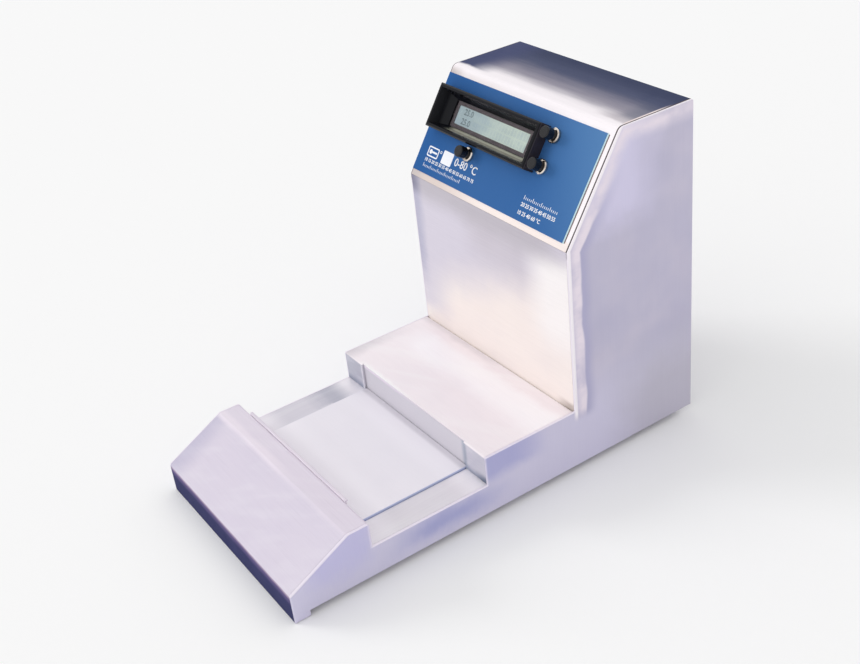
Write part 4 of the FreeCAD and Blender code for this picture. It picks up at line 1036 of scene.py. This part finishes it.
@dataclass
class Shell(Assembly):
    """The folded and welded sheet case and its feet."""

    toe: float = -192.5
    step: float = -19.4

    def build(self) -> None:
        """Dress every sheet of the case and its feet."""
        self.dress_sides()
        self.dress_nose()
        self.dress_deck()
        self.dress_well()
        self.dress_front()
        self.dress_head()
        self.dress_rest()

    def dress_sides(self) -> None:
        """Dress the side panels: lavender grey, bluer below the low edges, greyer towards the rear foot,
        lighter low down by painted light, with painted highlights along the low edges and painted shade on
        the left panel's front edge.
        """
        right = span(0, 60)
        left_toe = (run(self.toe + 2, self.toe + 1), span(-99, -100), rise(25, 22))
        mid_run = (run(-120, -70), run(10, -45), rise(40, 22), rise(6, 20))
        deck_run = (run(46, 5), run(-40, -14), rise(30, 44))
        nose_side = (run(-192, -165), run(-112, -135), rise(8, 36))
        nose_slope = (0.0, -0.468, 0.884)
        edges = (
            (Reach(nose_slope, 111.6, 112.6), run(-136, -141)),
            (rise(52, 52.8), run(-142, -140), run(-121, -123)),
            (rise(30.6, 31.4), run(-126, -122), run(-18, -20)),
            (rise(56.3, 57.1), run(-21, -19), run(69, 66)),
        )
        washes = (
            Wash((210, 204, 224), (run(-125, -185),)),
            # Painted light: the wall lighter low down, out of its shade
            Wash((202, 198, 219), (rise(100, 45),)),
            Wash((164, 165, 204), (right, *mid_run), ragged=10),
            Wash((166, 166, 206), (right, *deck_run), 0.9, 6),
            Wash((182, 179, 222), (right, *nose_side), 0.55, 10, 16),
            Wash((184, 180, 194), (run(85, 160), rise(110, 40)), 0.9, 16),
            Wash((207, 202, 227), (rise(190, 220), run(170, 125)), 0.9, 12),
            # Painted highlights along the edges by the nose, rails and deck
            *(Wash((248, 234, 242), edge, 0.75) for edge in edges),
            # Painted shade on the left panel's front edge, beside the skirt
            Wash((66, 68, 106), left_toe),
        )
        side = SideSheet("side_sheet", (187, 183, 204), Axis.Z, washes, mottle=0.16, line=0.02, lift=1.12)
        self.dress(side, "left_side_panel", "right_side_panel")

    def dress_nose(self) -> None:
        """Dress the nose: pale slope and ridge, with painted light on the ridge, a painted dark reflection on
        the skirt under a painted purple reflection on the bend, and the lip behind it, its front lifted by
        painted light.
        """
        skirt = run(self.toe + 4, self.toe + 2)
        washes = (
            Wash((200, 194, 214), (span(-72, -99),), 0.9, 5),
            # Painted light on the ridge's top and a painted highlight along its front edge
            Wash((229, 220, 232), (run(-146, -141),), 0.9, 2),
            Wash((240, 230, 240), (run(-146, -141), run(-134, -139), span(30, -20)), 0.7, 2),
            # Painted reflection: the skirt dark navy under a purple bend
            Wash((168, 151, 175), (skirt, rise(26, 24)), ragged=0.8),
            Wash((98, 88, 130), (skirt, rise(24.5, 21)), ragged=1.2),
            Wash((58, 60, 99), (skirt, rise(21, 15)), ragged=1.2),
        )
        nose = BrushedSheet(
            "nose_sheet",
            (220, 212, 226),
            Axis.X,
            washes,
            metallic=0.25,
            roughness=0.5,
            mottle=0.05,
            streak=0.08,
            turn=35.0,
            specular=0.0,
        )
        self.dress(nose, "nose_cover")
        # Painted light on the lip's front face, out of the shade behind the ridge
        lip_front = Wash((255, 248, 255), (run(-122.6, -122.85),))
        lip = BrushedSheet("lip_sheet", (226, 217, 228), Axis.X, (lip_front,), metallic=0.1, roughness=0.55)
        self.dress(lip, "nose_lip")

    def dress_deck(self) -> None:
        """Dress the deck, the two corner blocks below it and the step between them, with painted highlights
        on the deck and painted shade on the blocks.
        """
        front = run(self.step + 2.4, self.step + 1.2)
        recess = run(self.step + 9, self.step + 7)
        below = rise(DECK - 0.5, DECK - 1.8)
        washes = (
            # Painted highlights across the deck
            Wash((255, 248, 252), (run(14, 38), run(60, 48), span(-95, -60)), 0.9, 7),
            # Painted shade at the deck's rear, by the head's front
            Wash((224, 216, 221), (run(58, 65), span(20, -25)), 0.9, 5),
            Wash((213, 206, 212), (span(-84, -99), run(60, -14)), 0.9, 5),
            Wash((255, 250, 251), (run(-12, -18), span(-85, -60), span(10, -30)), 0.9, 5),
            # Painted shade on the blocks' fronts, darker on the left block, at their feet and at the right
            # block's inner bend
            Wash((199, 197, 209), (front, below)),
            Wash((178, 178, 192), (front, below, span(-60, -70))),
            Wash((146, 151, 169), (front, rise(39, 33.5)), ragged=2),
            Wash((98, 106, 127), (front, rise(42, 33), span(84, 98))),
            Wash((160, 166, 181), (front, below, span(78, 74), span(70, 72))),
            # Painted light on the left block's inner side and along the deck's rear joint, out of their shade
            Wash((214, 212, 221), (recess, below, span(-76.5, -74.5), span(-70, -72))),
            Wash((255, 250, 252), (run(65.5, 67),), 0.8),
        )
        deck = BrushedSheet(
            "deck_sheet",
            (245, 236, 240),
            Axis.X,
            washes,
            mottle=0.06,
            streak=0.2,
            turn=28.0,
            metallic=0.25,
            lift=1.03,
        )
        self.dress(deck, "deck_cover")
        shades = (
            # Painted shade at the step's right end, beside the block
            Wash((174, 180, 194), (span(66, 71),)),
            Wash((244, 232, 246), (rise(53.5, 55.5), span(30, -60))),
        )
        step = BrushedSheet(
            "step_sheet", (216, 213, 220), Axis.X, shades, metallic=0.25, mottle=0.03, line=0.02
        )
        self.dress(step, "step_panel")

    def dress_well(self) -> None:
        """Dress the well: pale at both ends with painted light, and a painted dark mottled reflection on the
        far rail at its middle.
        """
        # Painted reflection: a dark mottled patch on the far rail
        far_rail_reflection = (span(-73, -76), run(-70, -46), run(-24, -34))
        washes = (
            Wash((214, 210, 220), (span(-72, -76),), 0.9),
            Wash((234, 227, 234), (run(-60, -26), span(70, 76)), 0.9),
            Wash((182, 181, 195), far_rail_reflection, 0.9, 9, (16, 10, 16)),
            # Painted light by the nose and by the step, where they shade the rails
            Wash((240, 235, 242), (run(-90, -108),), 0.9),
            Wash((250, 245, 250), (run(-44, -25),), 0.85),
        )
        well = BrushedSheet(
            "well_sheet", (224, 219, 226), Axis.Y, washes, metallic=0.3, mottle=0.05, streak=0.12
        )
        self.dress(well, "well_pan")

    def dress_front(self) -> None:
        """Dress the head's lower front with painted light: warm and bright low on the right, lavender grey
        high on the left, with a painted dark corner at the upper left and a painted contact shadow at the
        lower right.
        """
        upper_left = (-0.35, 0.0, 0.94)
        left = span(-84, -98)
        washes = (
            # Painted light and painted reflection: lavender grey shade high on the left, a warm highlight low
            # on the right
            Wash((213, 207, 220), (span(-48, -92), rise(60, 80)), 0.8, 8),
            Wash((213, 207, 220), (Reach(upper_left, 98, 152),), ragged=9),
            Wash((202, 195, 205), (rise(128, 172), span(-45, 0), span(72, 36)), 0.9, 4),
            Wash((255, 248, 246), (span(42, 80), rise(90, 130), rise(196, 176)), 0.9, 4),
            Wash((188, 182, 191), (rise(168, 192), span(115, 62)), 0.95, 4),
            Wash((181, 179, 201), (left, rise(85, 125)), 0.9, 5),
            # Painted shade in the upper left corner
            Wash((133, 131, 153), (left, rise(176, 190)), ragged=3),
            # Painted contact shadow at the lower right, by the deck and the side panel
            Wash((202, 190, 183), (rise(65, 60.5), span(78, 96)), ragged=2),
        )
        front = BrushedSheet(
            "front_sheet", (248, 238, 232), Axis.X, washes, mottle=0.06, metallic=0.3, lift=1.03
        )
        self.dress(front, "head_front_panel")

    def dress_head(self) -> None:
        """Dress the head's cover: a painted highlight round the film and over the fold, painted shade towards
        its left and a painted dark reflection towards the top's rear.
        """
        top = run(125, 129)
        roof = rise(262, 272)
        low_border = run(72.4, 71.4)
        along = (60, 7, 60)
        washes = (
            # Painted highlights round the film; painted shade on its low border and at its left
            Wash((252, 246, 249), (span(-75, 35),)),
            Wash((252, 246, 249), (run(116, 121),)),
            Wash((249, 236, 230), (low_border,), 0.9),
            Wash((221, 206, 199), (low_border, span(0, -75)), 0.9, 4),
            Wash((204, 194, 192), (span(-78, -98), run(122, 117)), 0.9, 3),
            Wash((206, 199, 204), (top, span(62, 86)), 0.9, 3),
            # Painted reflection: the top darkens to navy towards its rear
            Wash((154, 150, 163), (run(128, 146),), 1, 4, along),
            Wash((130, 131, 145), (run(131, 140), span(76, 92)), 0.8, 3),
            Wash((80, 86, 113), (roof, run(142, 169)), 1, 5, along),
            Wash((63, 70, 98), (roof, run(166, 186)), 1, 5, along),
            Wash((76, 82, 116), (roof, top, span(-55, -88)), ragged=4),
            Wash((205, 200, 214), (rise(272, 264), run(178, 182))),
            # Painted highlight on the folded edge along the top's right side
            Wash((244, 230, 228), (top, span(97, 98), run(176, 156))),
            Wash((92, 82, 84), (span(99.05, 99.3),)),
        )
        head = BrushedSheet(
            "head_sheet",
            (240, 231, 230),
            Axis.X,
            washes,
            mottle=0.05,
            metallic=0.3,
            roughness=0.5,
            specular=0.0,
        )
        self.dress(head, "head_cover")

    def dress_rest(self) -> None:
        """Dress the base, the rear panel and the feet."""
        self.dress(BrushedSheet("back_sheet", (200, 196, 212), Axis.X), "base_plate", "rear_panel")
        self.dress(Moulding("foot_rubber", (34, 33, 35), (62, 60, 60), 0.75, 0.8, 0.00008), "feet")


@dataclass
class Fasteners(Assembly):
    """The screws, nuts and standoffs all over the part."""

    def build(self) -> None:
        """Dress the zinc-plated screws and nuts and the brass standoffs."""
        zinc = TurnedMetal("zinc_plate", (206, 206, 208), (150, 148, 146), 0.28)
        places = ("foot", "case", "display", "inlet", "fan", "board")
        self.dress(zinc, "foot_nuts", *(f"{place}_screws" for place in places))
        brass = TurnedMetal("standoff_brass", (206, 178, 112), (150, 122, 70), 0.3)
        self.dress(brass, "display_standoffs", "board_standoffs")


@dataclass
class Well(Assembly):
    """The thermal plate and what lies under it."""

    plate_edge: float = 72.85

    def build(self) -> None:
        """Dress the plate, the heater and its fittings."""
        near_edge = self.plate_edge - 0.3
        # Painted light where the nose and the step shade the plate, painted shade at the step's foot and a
        # painted pale blue reflection on both side edges
        washes = (
            Wash((249, 245, 251), (run(-78, -100),), 0.9),
            Wash((244, 240, 247), (run(-50, -34),), 0.9),
            Wash((216, 212, 220), (run(-25, -21),), 0.9),
            Wash((200, 208, 238), (span(near_edge, self.plate_edge),)),
            Wash((200, 208, 238), (span(-near_edge, -self.plate_edge),)),
        )
        plate = BrushedSheet(
            "blasted_plate",
            (239, 235, 242),
            Axis.X,
            washes,
            metallic=0.2,
            roughness=0.55,
            mottle=0.03,
            line=0.02,
        )
        self.dress(plate, "thermal_plate")
        silicone = Moulding("heater_silicone", (168, 70, 36), (196, 110, 70), 0.6, 1.2, 0.00015)
        self.dress(silicone, "heater_mat")
        felt = Moulding("insulation_felt", (214, 206, 190), (236, 230, 220), 0.95, 0.4, 0.0004)
        self.dress(felt, "insulation_pad")
        steel = TurnedMetal("stud_steel", (196, 194, 192), (140, 136, 132), 0.32)
        self.dress(steel, "plate_studs", "plate_nuts")
        sleeve = TurnedMetal("probe_sleeve", (206, 202, 196), (150, 142, 132), 0.25)
        self.dress(sleeve, "plate_sensor")
        phenolic = Moulding("cutout_phenolic", (40, 30, 26), (70, 54, 46), 0.42, 0.7)
        self.dress(phenolic, "thermal_cutout")


@dataclass
class ControlFace(Assembly):
    """The sloped face: film, printed marks, display bezel, window and character display."""

    origin: Triple = (0.0, HEAD_FRONT, KINK)
    film_top: float = 0.5
    film_right: float = 92.8
    film_rise: tuple[float, float] = (5.0, 89.3)
    ink: float = 0.04
    screen_lift: float = -0.65
    display: tuple[float, float] = (-27.2, 60.0)
    view: tuple[float, float] = (91.0, 15.2)
    columns: int = 24
    figure_height: float = 4.8
    figure_left: float = -38.0
    figure_rows: tuple[float, float] = (1.6, -6.2)
    figure_thick: float = 0.02
    figure_gap: float = 0.01
    ledge_low: tuple[float, float] = (44.6, 10.2)
    ledge_high: tuple[float, float] = (50.5, 1.0)
    carrier: tuple[float, float] = (1.3, 0.3)
    # Painted shadow: width and thickness of the dark strip beside the film's right edge
    bead: tuple[float, float] = (0.8, 0.15)
    bead_gap: float = 0.2
    bead_short: float = 1.0
    strip_corner: float = 0.3
    tick_pitch: float = 2.0
    tick_thick: float = 0.55
    tick_corner: float = 0.15
    tick_short: float = 0.6
    tick_group: int = 5

    def axes(self) -> tuple[Vector, Vector]:
        """Give two directions of the face.

        Returns:
            The direction up its slope and the one out of it.
        """
        lean = math.radians(FACE_TILT)
        up = Vector((0, math.sin(lean), math.cos(lean)))
        return up, Vector(ACROSS).cross(up)

    def plane(self, lift: float) -> Matrix:
        """Give the place of the face's own plane, lifted off the sheet.

        Args:
            lift: The height above the sheet's outer face, in millimetres.

        Returns:
            The matrix that lays the XY plane on the face.
        """
        up, out = self.axes()
        start = (Vector(self.origin) + out * lift) * MM
        turn = Matrix((Vector(ACROSS), up, out)).transposed().to_4x4()
        return Matrix.Translation(start) @ turn

    def build(self) -> None:
        """Dress the film and the display and add their marks."""
        film = PrintedFilm("blue_film", (54, 101, 159), (84, 128, 177), (36, 90, 153))
        self.dress(film, "control_overlay")
        self.dress_bezel()
        self.dress(ClearPane("clear_pane", (20, 22, 26)), "display_window")
        frame = TurnedMetal("display_frame", (112, 101, 106), (84, 77, 84), 0.45, metallic=0.2)
        self.dress(frame, "lcd_frame")
        self.dress_screen()
        self.dress(CircuitBoard("display_board", (24, 84, 52), (58, 128, 82)), "lcd_board")
        self.edge_film()
        self.print_marks()

    def dress_bezel(self) -> None:
        """Dress the bezel: glossy black, with a painted reflection of the display on its lower ledge and a
        painted reflection on its right end.
        """
        up, out = self.axes()
        base_up, base_out = (way.dot(Vector(self.origin)) for way in (up, out))
        low, mouth = self.ledge_low[0] + base_up, self.ledge_low[1] + base_out
        high, floor = self.ledge_high[0] + base_up, self.ledge_high[1] + base_out
        ledge = (
            Reach(tuple(up), low, low + 1.0),
            Reach(tuple(up), high, high - 1.5),
            Reach(tuple(out), mouth, mouth - 3.0),
            Reach(tuple(out), floor - 1.0, floor + 2.0),
            span(-74, -62),
            span(30, 24),
        )
        # Painted reflection of the display on the bezel's lower ledge
        ledge_reflection = Wash((176, 176, 158), ledge, ragged=0.6, pitch=(14, 6, 6), coat=1.0)
        # Painted reflection on the bezel's right end wall
        right_end_reflection = Wash((56, 52, 60), (span(35.7, 36.1),), 0.9)
        washes = (ledge_reflection, right_end_reflection)
        bezel = Moulding("bezel_moulding", (15, 16, 22), (26, 27, 34), 0.14, 0.4, 0.000004, 0.15, washes)
        self.dress(bezel, "display_bezel")

    def dress_screen(self) -> None:
        """Give the glass its cells and set plain figures on it."""
        lean = math.radians(FACE_TILT)
        across, along = self.display
        width, height = self.view
        screen = CharacterGlass(
            "display_glass",
            glass=(200, 214, 202),
            cell=(160, 178, 190),
            shade=(156, 175, 184),
            start=across - width / 2,
            pitch=width / self.columns,
            middle=self.origin[2] + along * math.cos(lean) + self.screen_lift * math.sin(lean),
            half=height / 2 * math.cos(lean),
        )
        self.dress(screen, "lcd_glass")
        lines = []
        for row in self.figure_rows:
            line = Bench.words("25.0", self.figure_height)
            lines.append(Bench.shift(line, across + self.figure_left, along + row))
        figures = Bench.join(lines, "display_figures", self.figure_thick)
        Bench.place(figures, self.plane(self.screen_lift + self.figure_gap))
        segment = Moulding("display_segments", (155, 172, 176), (164, 181, 184), 0.5, specular=0.2)
        self.adopt(figures, segment, Body.CASE, Slot.LCD)

    def lay_strip(self, name: str, start: float, size: Triple, finish: Finish) -> None:
        """Lay a thin strip up the face, beside the film.

        Args:
            name: The strip's name.
            start: Its left edge, in millimetres.
            size: Its width, length and thickness.
            finish: Its finish.
        """
        width, length, thick = size
        strip = Bench.bar(width, length, self.strip_corner)
        Bench.shift(strip, start + width / 2, sum(self.film_rise) / 2)
        piece = Bench.place(Bench.join([strip], name, thick), self.plane(0.0))
        self.adopt(piece, finish, Body.CASE, Slot.OVERLAY)

    def edge_film(self) -> None:
        """Add the film's clear carrier and, along its right edge, a dark strip that stands for the film
        edge's shadow.
        """
        low, high = self.film_rise
        length = high - low
        width, thick = self.carrier
        clear = Moulding("carrier_film", (196, 222, 228), (176, 206, 216), 0.4, specular=0.3)
        self.lay_strip("film_carrier", self.film_right, (width, length, thick), clear)
        start = self.film_right + width + self.bead_gap
        width, thick = self.bead
        # Painted shadow: a dark strip where the film's edge casts its shade
        shadow_strip_finish = Moulding("film_edge_shadow", (122, 98, 96), (96, 78, 78), 0.6, specular=0.2)
        self.lay_strip("film_shadow_line", start, (width, length - self.bead_short, thick), shadow_strip_finish)

    def draw_scale(self, start: float, low: float, height: float, count: int) -> list[bpy.types.Object]:
        """Draw a row of ticks, every fifth one taller.

        Args:
            start: The first tick's place along X, in millimetres.
            low: The lower end of the ticks.
            height: The height of the tall ones.
            count: How many ticks there are.

        Returns:
            The flat ticks.
        """
        sizes = {True: height, False: height * self.tick_short}
        models = {}
        for is_tall, size in sizes.items():
            models[is_tall] = Bench.bar(self.tick_thick, size, self.tick_corner)
        row = []
        for number in range(count):
            is_tall = number % self.tick_group == 0
            tick = Bench.copy(models[is_tall])
            row.append(Bench.shift(tick, start + number * self.tick_pitch, low + sizes[is_tall] / 2))
        for model in models.values():
            bpy.data.objects.remove(model)
        return row

    @staticmethod
    def draw_numbers(
        values: range, height: float, start: float, pitch: float, low: float
    ) -> list[bpy.types.Object]:
        """Draw a row of numbers.

        Args:
            values: The numbers.
            height: The height of a figure, in millimetres.
            start: The first number's left end.
            pitch: The distance from one number to the next.
            low: The foot of the figures.

        Returns:
            The flat numbers.
        """
        row = []
        for place, value in enumerate(values):
            row.append(Bench.shift(Bench.words(str(value), height), start + place * pitch, low))
        return row

    def print_marks(self) -> None:
        """Print a temperature sign, its range and two ruled scales in white."""
        # Each sign with its place across and up the face, in millimetres
        signs = (
            (Bench.bar(14.4, 8.6, 1.4, 1.1), -82.2, 23.7),
            (Bench.bar(7.6, 1.5, 0.6), -80.6, 23.7),
            (Bench.ring(1.9, 1.9), -85.4, 23.7),
            (Bench.ring(1.2, 0.5), -72.4, 26.4),
            (Bench.bar(13.4, 11.0, 1.0), -62.6, 24.0),
            (Bench.words("0-80 °C", 6.4), -52.4, 21.4),
            (Bench.words("10 25 40 60 °C", 3.0), 36.8, 9.8),
        )
        marks = [Bench.shift(sign, across, up) for sign, across, up in signs]
        marks += self.draw_scale(-88.6, 10.2, 3.0, 26)
        marks += self.draw_numbers(range(10, 80, 5), 2.7, -89.8, 4.9, 15.1)
        marks += self.draw_scale(38.6, 21.6, 3.2, 20)
        marks += self.draw_numbers(range(20, 60, 5), 3.0, 37.6, 5.1, 16.2)
        printed = Bench.place(Bench.join(marks, "panel_print", self.ink), self.plane(self.film_top))
        white = Moulding("white_ink", (244, 245, 250), (214, 222, 236), 0.5, 0.5, 0.00001, 0.2)
        self.adopt(printed, white, Body.CASE, Slot.OVERLAY)


@dataclass
class Buttons(Assembly):
    """The three push buttons with their nuts, washers and switches."""

    places: tuple[str, ...] = ("upper", "lower", "left")

    def build(self) -> None:
        """Dress the caps and their switches."""
        cap = Moulding("cap_moulding", (16, 16, 20), (36, 36, 42), 0.24, 0.35, 0.00001, 0.4)
        self.dress(cap, *(f"button_cap_{place}" for place in self.places))
        body = Moulding("switch_body", (30, 30, 33), (54, 54, 58), 0.48, 0.6)
        self.dress(body, *(f"button_switch_{place}" for place in self.places))
        # On the nuts the dark patches laid as tarnish are painted shade
        nickel = TurnedMetal("bright_nickel", (240, 230, 218), (112, 94, 82), 0.16, pitch=1.2, share=0.8)
        self.dress(nickel, "button_nuts", "button_washers")


@dataclass
class RearFittings(Assembly):
    """The power inlet, fuse drawer, rocker and fan on the rear panel."""

    mark_share: float = 0.27
    mark_bar: tuple[float, float] = (0.9, 3.2)
    mark_ring: tuple[float, float] = (1.7, 0.55)
    mark_thick: float = 0.06
    mark_start: float = 2.0

    def build(self) -> None:
        """Dress the rear fittings."""
        black = Moulding("fitting_black", (28, 28, 31), (52, 52, 56), 0.4, 0.6)
        self.dress(black, "power_inlet", "rocker_housing", "fuse_drawer")
        gloss = Moulding("rocker_gloss", (20, 20, 23), (44, 44, 48), 0.2, 0.5, 0.00001)
        self.dress(gloss, "rocker_paddle")
        self.dress(TurnedMetal("pin_plate", (214, 206, 190), (168, 156, 138), 0.2), "inlet_pins")
        glass = TurnedMetal("fuse_glass", (206, 214, 210), (170, 176, 172), 0.1, metallic=0.2)
        self.dress(glass, "fuse")
        black_fan = Moulding("fan_moulding", (30, 30, 32), (50, 50, 54), 0.5, 0.7)
        self.dress(black_fan, "fan_frame", "fan_rotor")
        self.dress(TurnedMetal("guard_chrome", (222, 222, 226), (176, 176, 182), 0.14), "fan_guard")
        self.mark_rocker()

    def mark_rocker(self) -> None:
        """Press the bar and the ring of an on-off switch into the rocker's dished face."""
        low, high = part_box("rocker_paddle")
        offset = (high[2] - low[2]) / MM * self.mark_share
        Bench.clear()
        bpy.ops.mesh.primitive_grid_add(x_subdivisions=2, y_subdivisions=10, size=1.0)
        Bench.size(*self.mark_bar)
        stroke = Bench.shift(bpy.context.object, 0.0, offset)
        ring = Bench.shift(Bench.ring(*self.mark_ring), 0.0, -offset)
        marks = Bench.join([stroke, ring], "rocker_marks", 0.0)
        behind = high[1] + self.mark_start * MM
        middle = Vector(((low[0] + high[0]) / 2, behind, (low[2] + high[2]) / 2))
        facing = Matrix(((-1, 0, 0), (0, 0, 1), (0, 1, 0))).transposed().to_4x4()
        Bench.place(marks, Matrix.Translation(middle) @ facing)
        Bench.press(marks, self.nodes["rocker_paddle"], self.mark_thick)
        white = Moulding("rocker_ink", (232, 232, 230), (206, 206, 204), 0.5, specular=0.3)
        self.adopt(marks, white, Body.ROCKER, Slot.BLACK_PLASTIC)


@dataclass
class Electronics(Assembly):
    """The boards, the supply and the wiring inside the case."""

    def build(self) -> None:
        """Dress the parts inside."""
        mask = CircuitBoard("control_mask", (22, 80, 48), (52, 122, 76))
        self.dress(mask, "control_board", "supply_board")
        self.dress(Moulding("chip_epoxy", (34, 34, 38), (60, 60, 66), 0.5, 0.4), "board_components")
        self.dress(Moulding("relay_case", (36, 62, 116), (60, 88, 142), 0.35, 0.5), "heater_relay")
        wires = Striped("ribbon_wires", (176, 176, 180), (112, 112, 118), Axis.X, 1.27, 0.45)
        self.dress(wires, "display_ribbon")
        sleeve = Striped("cable_sleeve", (160, 54, 40), (110, 34, 26), Axis.Y, 2.0, 0.5)
        self.dress(sleeve, "heater_cable")
        sheet = TurnedMetal("supply_sheet", (200, 202, 204), (164, 166, 170), 0.36)
        self.dress(sheet, "supply_chassis")
        core = Striped("core_laminations", (92, 88, 86), (48, 46, 46), Axis.X, 0.8, 0.5, 0.6)
        self.dress(core, "power_transformer")
        jacket = Moulding("capacitor_sleeve", (34, 42, 74), (70, 78, 108), 0.32, 0.8)
        self.dress(jacket, "supply_capacitors")


@dataclass
class Studio:
    """The floor, the soft light and the camera."""

    eye: Triple = (0.71616, -0.42581, 0.61994)
    azimuth: float = 58.832
    elevation: float = 31.285
    roll: float = 6.815
    lens: float = 51.838
    sensor: float = 36.0
    near: float = 0.01
    floor_size: float = 60.0
    backdrop: Colour = (0.93, 0.93, 0.93, 1.0)
    bright_side: Triple = (-0.25, -0.65, 0.72)
    room_near: Colour = (0.96, 0.96, 0.965, 1.0)
    room_far: Colour = (0.53, 0.53, 0.55, 1.0)
    lamp_side: Triple = (-0.7, -0.58, 0.4)
    lamp_energy: float = 0.85
    lamp_angle: float = 24.0

    def build(self) -> None:
        """Set up the floor, the light and the camera."""
        self.lay_floor()
        self.light_room()
        self.hang_lamp()
        self.set_camera()
        bpy.context.scene.view_settings.view_transform = "Standard"

    def lay_floor(self) -> None:
        """Lay a plain pale floor."""
        Bench.clear()
        bpy.ops.mesh.primitive_plane_add(size=self.floor_size)
        floor = bpy.context.object
        floor.name = "floor"
        floor.data.materials.append(FloorPaper("floor_paper", (253, 253, 252), (250, 250, 250)).make())

    def light_room(self) -> None:
        """Light the part with a soft pale room that shows as one plain backdrop."""
        world = bpy.data.worlds.new("soft_room")
        bpy.context.scene.world = world
        world.use_nodes = True
        graph = Graph(world.node_tree, "Generated")
        shares = [graph.along[axis] * part for axis, part in zip(Axis, self.bright_side)]
        toward = sum(shares[1:], shares[0])
        room = graph.mix(toward * 0.5 + 0.5, self.room_far, self.room_near)
        rays = graph.node("ShaderNodeLightPath").outputs
        kinds = ("Is Camera Ray", "Is Glossy Ray", "Is Transmission Ray")
        camera, glossy, clear = (Tone(graph, rays[kind]) for kind in kinds)
        room = graph.mix(camera | glossy | clear, room, self.backdrop)
        sky = graph.node("ShaderNodeBackground", {}, {"Color": room, "Strength": 1.0})
        graph.node("ShaderNodeOutputWorld", {}, {"Surface": sky.outputs[0]})

    def hang_lamp(self) -> None:
        """Hang one broad lamp at the front left."""
        lamp = bpy.data.lights.new("broad_lamp", "SUN")
        lamp.energy = self.lamp_energy
        lamp.angle = math.radians(self.lamp_angle)
        key = bpy.data.objects.new("broad_lamp", lamp)
        bpy.context.scene.collection.objects.link(key)
        key.visible_glossy = False
        key.rotation_euler = Vector(self.lamp_side).to_track_quat("Z", "Y").to_euler()

    def set_camera(self) -> None:
        """Stand the camera where the photograph was taken."""
        camera = bpy.data.cameras.new("camera")
        camera.lens = self.lens
        camera.sensor_width = self.sensor
        camera.sensor_fit = "HORIZONTAL"
        camera.clip_start = self.near
        stand = bpy.data.objects.new("camera", camera)
        bpy.context.scene.collection.objects.link(stand)
        turn, lift, lean = (math.radians(angle) for angle in (self.azimuth, self.elevation, self.roll))
        back = Vector((math.sin(turn) * math.cos(lift), -math.cos(turn) * math.cos(lift), math.sin(lift)))
        right = Vector((math.cos(turn), math.sin(turn), 0.0))
        up = back.cross(right)
        rolled_right = right * math.cos(lean) - up * math.sin(lean)
        rolled_up = right * math.sin(lean) + up * math.cos(lean)
        turned = Matrix((rolled_right, rolled_up, back)).transposed().to_4x4()
        stand.matrix_world = Matrix.Translation(Vector(self.eye)) @ turned
        bpy.context.scene.camera = stand


def main() -> None:
    """Load the part, dress each group of pieces and set up the studio."""
    logging.basicConfig(level=logging.INFO, format="%(message)s")
    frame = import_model()
    Studio().build()
    for group in (Shell, Fasteners, Well, ControlFace, Buttons, RearFittings, Electronics):
        group(frame["nodes"]).build()


if __name__ == "__main__":
    main()
